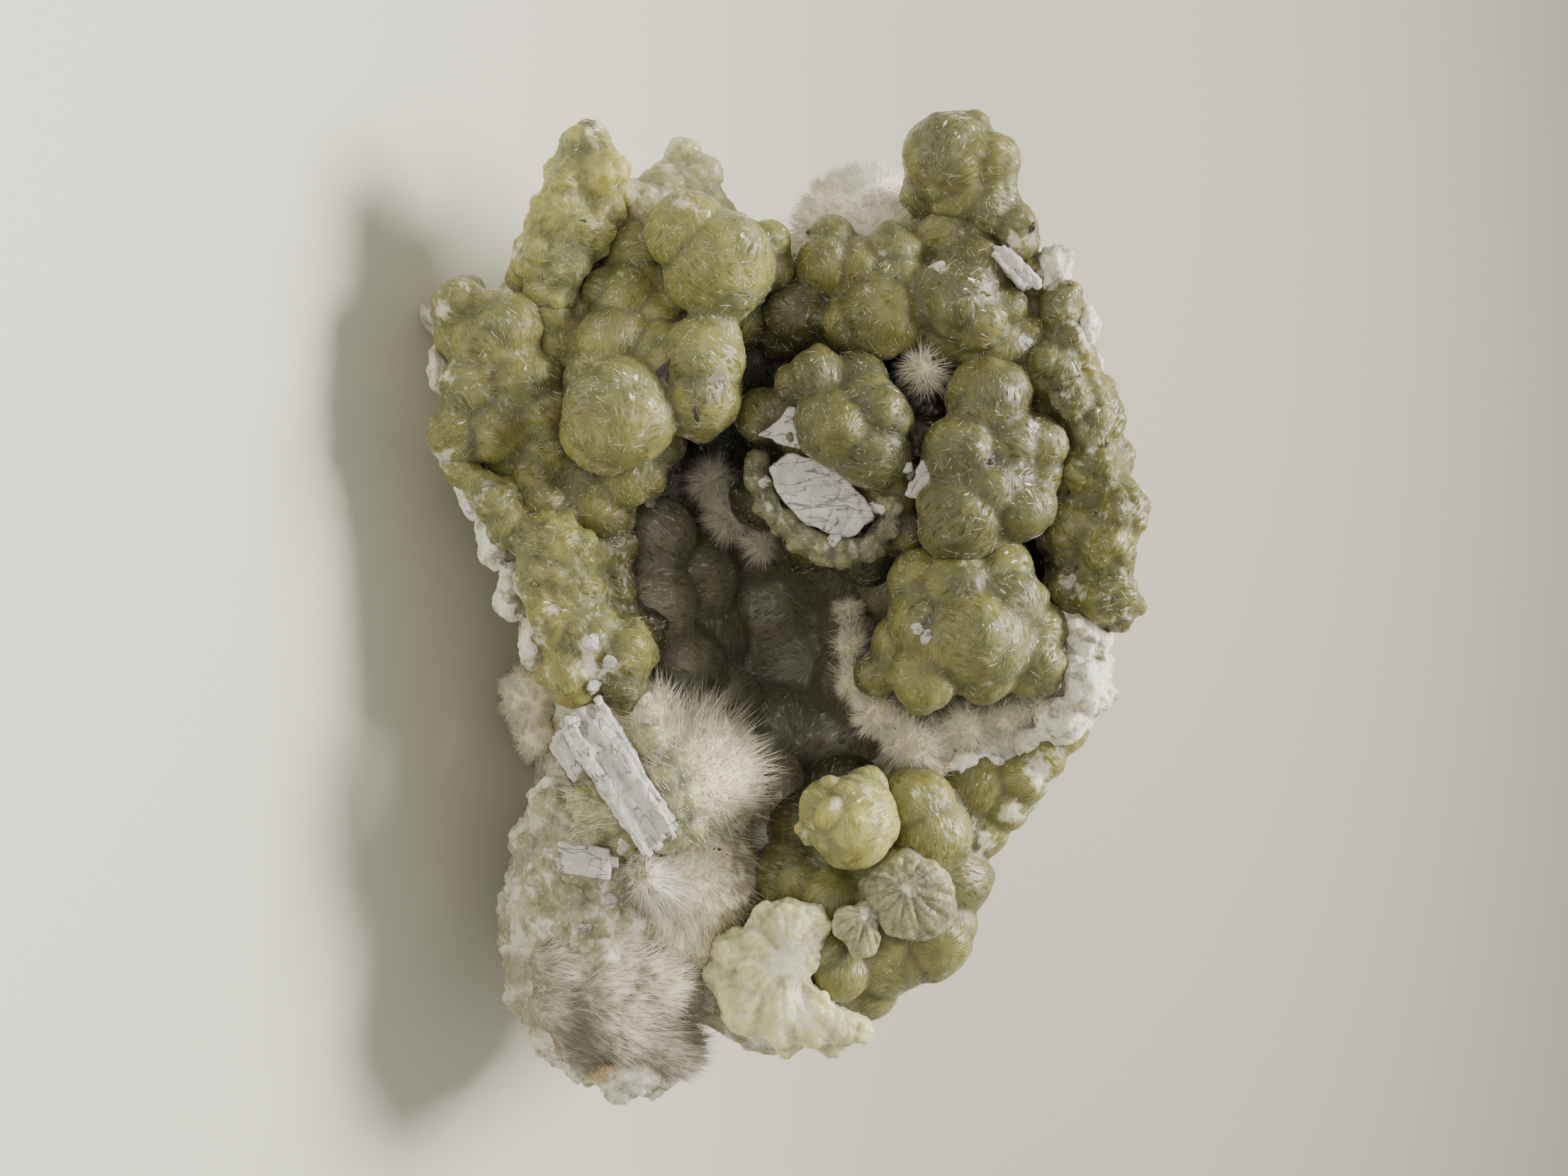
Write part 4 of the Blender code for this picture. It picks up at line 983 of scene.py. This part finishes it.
# The cleaved plates: two white laumontite sheets broken across, with cracks on a rough grid.
CENTRE_CAST = [
    (-10.9, -1.3), (-12.2, 0.2), (-11.7, 4.0), (-10.0, 5.8), (-6.2, 8.2), (-4.5, 5.6), (-5.6, 2.0),
    (-8.8, -0.7),
]
UPPER_FLAKE = [
    (-16.4, 0.4), (-16.4, 2.2), (-14.1, 1.5), (-12.8, 2.4), (-12.7, 0.6), (-13.8, -2.4), (-14.8, -1.0),
]
CAST_CRACKS = [
    ((-9.4, 5.4), (-5.3, 3.6)), ((-8.2, 7.2), (-4.6, 4.9)), ((-7.9, 2.0), (-7.0, 7.2)),
    ((-6.4, 2.2), (-5.6, 5.6)), ((-9.6, 3.8), (-8.4, 6.8)), ((-10.8, 4.9), (-9.8, 4.2)),
]
CRACK_WIDTH = 0.22
CRACK_DEPTH = 0.4
FACE_AXES = (Vector((1, 0, 0)), face_up, sight)


def plate(name, node, outline, front, thickness, cracks, seed):
    """A flat sheet with a ragged edge, and a groove along every crack."""
    chance = np.random.default_rng(seed)
    ragged = []
    for index, corner in enumerate(outline):
        after = outline[(index + 1) % len(outline)]
        steps = max(1, int(math.dist(corner, after) / 0.9))
        for step in range(steps):
            share = step / steps
            off = chance.uniform(-0.28, 0.28, 2) if step else (0.0, 0.0)
            ragged.append((corner[0] * (1 - share) + after[0] * share + off[0],
                           corner[1] * (1 - share) + after[1] * share + off[1]))
    bm = bmesh.new()
    near = [bm.verts.new(stand(across, up, front)) for across, up in ragged]
    far = [bm.verts.new(stand(across, up, front + thickness)) for across, up in ragged]
    bm.faces.new(near)
    bm.faces.new(far[::-1])
    for index, corner in enumerate(near):
        after = (index + 1) % len(near)
        bm.faces.new((near[after], corner, far[index], far[after]))
    if bm.calc_volume(signed=True) < 0:
        bmesh.ops.reverse_faces(bm, faces=bm.faces)
    piece = drawn(name, bm)
    weather(piece, 0.26)
    points = points_of(piece.data)
    for ends in cracks:
        first, last = (np.array(stand(across, up, front)) for across, up in ends)
        run = last - first
        share = np.clip(((points - first) @ run) / (run @ run), 0.0, 1.0)
        off = np.linalg.norm(points - first - share[:, None] * run, axis=1)
        groove = np.clip(1.0 - off / (CRACK_WIDTH * MM), 0.0, 1.0)
        points += groove[:, None] * np.array(sight) * CRACK_DEPTH * MM
    piece.data.vertices.foreach_set("co", points.ravel())
    piece.data.update()
    chalk_piece(piece, node, stand(*ragged[0], front), FACE_AXES)


plate("centre_cast", "laumontite_centre_cast", CENTRE_CAST, 2.0, 3.0, CAST_CRACKS, 51)
plate("upper_flake", "laumontite_upper_flake", UPPER_FLAKE, 1.6, 1.2, [], 52)


# The matrix: the pale, crumbly vein rock that it all grows on, rough as broken plaster, with a
# greenish, glassy grain where prehnite runs into it. Its underside is flat where it rests.
# Every stone is a (middle, halves), each (across, up, into).
BOULDERS = [
    ((-12, 0, 24), (20, 25, 17)), ((12, -2, 25), (22, 21, 17)), ((-19, -22, 14), (11, 8, 10)),
    ((-2, -19.5, 13), (12, 5, 9)), ((29.5, -15.5, 13), (15.5, 10, 12.5)), ((-8, 25, 17), (16, 5.5, 10)),
    ((26, 7, 19), (11, 8.5, 11)), ((-24.5, -2, 19), (7, 22, 11)), ((-31, 16, 11), (6, 5.5, 6)),
    ((-30, -19, 10), (7, 4.2, 5)), ((6, -15, 36), (28, 13, 12)), ((14, 20, 13), (7, 5, 7)),
    ((35, -2, 11), (7, 6.5, 7)), ((-24.6, -31, 12), (2.4, 2.4, 3)), ((-29, 24.4, 3.4), (2.2, 1.8, 3)),
]
FRONT_BLOCK = [
    ((29.5, -15.5, 13.4), (15.4, 9.9, 12.4)), ((43.2, -14.0, 7.5), (3.0, 4.6, 5.0)),
    ((20.5, -19.0, 7.0), (4.6, 3.6, 6.0)),
]
WHITE_RIDGE = [
    ((4.4, 27.4, 5), (2.2, 2.0, 3.6)), ((8.4, 27.2, 5.2), (3.4, 2.4, 4.4)),
    ((11.6, 25.0, 6.6), (2.6, 2.8, 4.4)), ((13.4, 22.6, 8.6), (2.4, 2.8, 4)),
    ((15.8, 17.8, 8.8), (2.6, 3.4, 3.4)), ((2.8, 26.4, 4.6), (1.3, 2.0, 3)),
]
WHITE_EDGES = [
    ((-23, 27, 5), (2.8, 1.5, 3.2)), ((-20, -31.2, 6), (2.2, 1.0, 3.6)),
    ((-28.4, 24.2, 4.2), (2.2, 1.5, 2.6)), ((-9, -28.2, 6), (2.8, 1.3, 3.4)),
    ((-4.6, -26.2, 6), (2.8, 1.3, 3.4)), ((0.2, -24.6, 6.2), (2.8, 1.4, 3.4)),
    ((4.8, -22.6, 6.4), (2.8, 1.4, 3.4)),
]
HOLLOW = [((2, -3, 8), (15, 11.5, 22)), ((-12, -4, 8), (10, 8, 12)), ((9, 3, 12), (10, 9, 13))]


def matrix_finish(name, light, dark):
    """Crumbly pale rock with greenish glassy grain, white powder, dark pits and stains."""
    made, tree, shader, body = new_finish(name)
    patch = noise(tree, body, 130.0, 4.0, 0.6)
    spots = noise(tree, body, 480.0, 4.0, 0.65)
    grain = noise(tree, body, 2200.0, 3.0, 0.7)
    stained = channels(tree, kept_on(tree, "stain")["Color"])
    colour = blend(tree, ramp(tree, patch, 0.42, 0.58), light, dark)
    colour = blend(tree, ramp(tree, spots, 0.53, 0.62, 0.0, 0.85), colour, (0.82, 0.80, 0.72, 1.0))
    colour = blend(tree, ramp(tree, spots, 0.37, 0.47, 0.75, 0.0), colour, (0.24, 0.22, 0.14, 1.0))
    for column, tone in (("Red", (0.40, 0.23, 0.08, 1.0)), ("Green", (0.27, 0.25, 0.16, 1.0))):
        edge = calc(tree, "MULTIPLY_ADD", spots, 1.6, stained[column])
        colour = blend(tree, ramp(tree, edge, 1.15, 1.45, 0.0, 0.8), colour, tone)
    colour = blend(tree, ramp(tree, grain, 0.30, 0.45, 0.55, 0.0), colour, (0.22, 0.20, 0.14, 1.0))
    colour = blend(tree, ramp(tree, grain, 0.58, 0.70, 0.0, 0.6), colour, (0.88, 0.87, 0.78, 1.0))
    height = calc(tree, "ADD", grain, spots)
    bump = wire(tree, "ShaderNodeBump", {"Height": height, "Strength": 0.9, "Distance": 0.3 * MM})
    feed(tree, shader, {
        "Base Color": colour, "Roughness": ramp(tree, grain, 0.45, 0.7, 0.85, 0.3),
        "Normal": bump.outputs["Normal"], "Subsurface Weight": 0.4,
        "Subsurface Radius": (1.0, 0.95, 0.7), "Subsurface Scale": 0.6 * MM,
    })
    return made


crumbly = matrix_finish("crumbly_matrix", (0.70, 0.68, 0.57, 1.0), (0.42, 0.39, 0.25, 1.0))
powdery = matrix_finish("powdery_matrix", (0.94, 0.91, 0.80, 1.0), (0.78, 0.74, 0.61, 1.0))


def boulders(name, stones, voxel):
    """Squashed balls in the leaning face's own directions, joined and made one skin."""
    turn = np.array([tuple(axis) for axis in FACE_AXES])
    balls = []
    for middle, halves in stones:
        spread = 1.0 + middle[2] / SIGHT_DISTANCE
        stretch = np.array((halves[0] * spread, halves[1] * spread, halves[2])) * MM
        balls.append((lobe_points * stretch) @ turn + np.array(stand(*middle)))
    return joined(name, np.array(balls), voxel)


# Stains on the rock, each an (across, up, radius): rusty brown ones, then grey-green ones.
STAINS = (
    [(43.4, -17.0, 2.2), (41.6, -19.4, 1.2)],
    [
        (19.0, -19.0, 2.6), (27.4, -19.0, 2.6), (30.6, -22.4, 2.4), (34.6, -24.2, 2.2),
        (38.6, -23.4, 2.6), (25.0, -23.6, 1.8), (31.4, -17.4, 1.8), (42.0, -14.0, 1.6),
        (22.6, -21.6, 1.4),
    ],
)


def stain(piece):
    """Marks on every point how far it lies inside a stain of either colour."""
    at = face_places(points_of(piece.data))
    marks = np.zeros((len(at), 4), dtype=np.float32)
    for column, spots in enumerate(STAINS):
        for across, up, radius in spots:
            off = np.hypot(at[:, 0] - across, at[:, 1] - up) / radius
            marks[:, column] = np.maximum(marks[:, column], np.clip(1.2 - off, 0.0, 0.7))
    keep(piece, "stain", marks)


for name, stones, finish, voxel, depth in (
    ("front_block", FRONT_BLOCK, crumbly, 0.30, 1.0), ("white_ridge", WHITE_RIDGE, powdery, 0.25, 0.8),
    ("white_edges", WHITE_EDGES, powdery, 0.25, 0.6),
):
    piece = boulders(name, stones, voxel)
    ripple(piece, [
        ("CLOUDS", 6.0, 1.8 * depth), ("VORONOI", 3.4, -1.8 * depth), ("VORONOI", 1.5, -1.0 * depth),
        ("CLOUDS", 0.7, 0.7 * depth),
    ])
    thin(piece, 0.6)
    stain(piece)
    settle(piece, finish, "matrix")

stone = boulders("matrix_stone", BOULDERS, 0.9)
hollow = boulders("hollow", HOLLOW, 0.9)
carve = stone.modifiers.new("Hollow", "BOOLEAN")
carve.operation = "DIFFERENCE"
carve.object = hollow
apply_all(stone)
bpy.data.objects.remove(hollow, do_unlink=True)
skin_over(stone, 0.58)
ripple(stone, [("CLOUDS", 7.0, 2.2), ("VORONOI", 3.2, -1.1), ("CLOUDS", 1.4, 0.8), ("CLOUDS", 0.7, 0.35)])
sink(stone, 0.45)
thin(stone, 0.62)
bpy.ops.object.mode_set(mode="EDIT")
bpy.ops.mesh.select_all(action="SELECT")
bpy.ops.mesh.bisect(plane_co=(0.0, 0.0, 0.0), plane_no=(0.0, 0.0, 1.0), use_fill=True, clear_inner=True)
bpy.ops.object.mode_set(mode="OBJECT")
bpy.ops.object.shade_smooth()
settle(stone, crumbly, "matrix")

# The small things: dark leaf-like specks that fell on the crust, and crumbs of chalky white
# laumontite, each lying on whatever the camera sees at its place.
# Each is an (across, up, size) on the face.
DARK_SPECKS = [
    (-22.7, 12.4, 0.35), (-11.5, 18.7, 0.4), (-19.4, 26.6, 0.4), (-17.9, 25.0, 0.55), (-12.7, 29.3, 0.35),
    (-27.5, 25.7, 0.35), (-32.7, 22.3, 0.4), (-19.9, -10.8, 0.8), (-15.5, -7.6, 0.6), (-33.3, -18.0, 0.3),
    (-11.0, -27.0, 0.45), (23.6, -6.2, 0.3), (24.2, -5.6, 0.25), (-36.0, -15.0, 0.25),
]
CHALK_CRUMBS = [
    (5.0, -17.3, 1.0), (28.5, -16.0, 1.0), (41.9, -15.1, 0.6), (4.4, 13.0, 0.9), (6.8, -15.6, 0.9),
    (3.6, 12.2, 0.6), (-14.7, 22.7, 0.5), (-22.4, 22.3, 0.6), (-9.6, -1.8, 0.8), (-4.6, 4.6, 0.9),
    (-7.4, 8.4, 0.8), (12.2, -19.4, 0.9), (23.4, -14.6, 0.7), (31.0, -18.0, 0.6), (-29.2, 14.0, 0.7),
    (8.8, -17.0, 0.8), (-10.6, 11.2, 0.8),
]
SPECK_HALVES = (0.6, 1.7, 0.45)
CRUMB_HALVES = (0.75, 1.0, 0.5)
dark_speck, tree, shader, body = new_finish("dark_speck")
mottle = noise(tree, body, 2400.0, 3.0, 0.6)
brown = ramp(tree, mottle, 0.45, 0.70)
feed(tree, shader, {
    "Base Color": blend(tree, brown, (0.028, 0.020, 0.014, 1.0), (0.11, 0.075, 0.045, 1.0)),
    "Roughness": ramp(tree, mottle, 0.4, 0.7, 0.35, 0.75),
})
eye = (FACE_MIDDLE - sight * SIGHT_DISTANCE) * MM


def seen_at(across, up):
    """Where the line of sight through a place on the face first meets a shown piece."""
    graph = bpy.context.evaluated_depsgraph_get()
    start = eye.copy()
    aim = (stand(across, up, 0.0) - eye).normalized()
    for _ in range(40):
        hit, place, facing, _, met, _ = bpy.context.scene.ray_cast(graph, start, aim)
        if not hit or (not met.hide_render and "needles" not in met.name):
            break
        start = place + aim * 0.02 * MM
    return place, facing


chance = np.random.default_rng(61)
for name, spots, halves, sides in (
    ("dark_specks", DARK_SPECKS, SPECK_HALVES, 6), ("chalk_crumbs", CHALK_CRUMBS, CRUMB_HALVES, 16),
):
    bm = bmesh.new()
    for across, up, size in spots:
        for _ in range(2):
            place, facing = seen_at(across + chance.uniform(-0.3, 0.3), up + chance.uniform(-0.3, 0.3))
            turn = Matrix.Rotation(chance.uniform(0, math.tau), 3, "Z")
            lay = facing.to_track_quat("Z", "Y").to_matrix() @ turn
            corners = []
            for _ in range(sides):
                way = chance.normal(size=3)
                way /= np.linalg.norm(way)
                corner = Vector(tuple(way * np.array(halves) * size * MM))
                corners.append(bm.verts.new(place + lay @ corner))
            made = bmesh.ops.convex_hull(bm, input=corners)
            loose = [one for one in made["geom_interior"] if isinstance(one, bmesh.types.BMVert)]
            bmesh.ops.delete(bm, geom=loose, context="VERTS")
    piece = drawn(name, bm)
    if name == "dark_specks":
        settle(piece, dark_speck, "matrix")
    else:
        chalk_piece(piece, "matrix", (0.0, 0.0, 0.0), FACE_AXES)
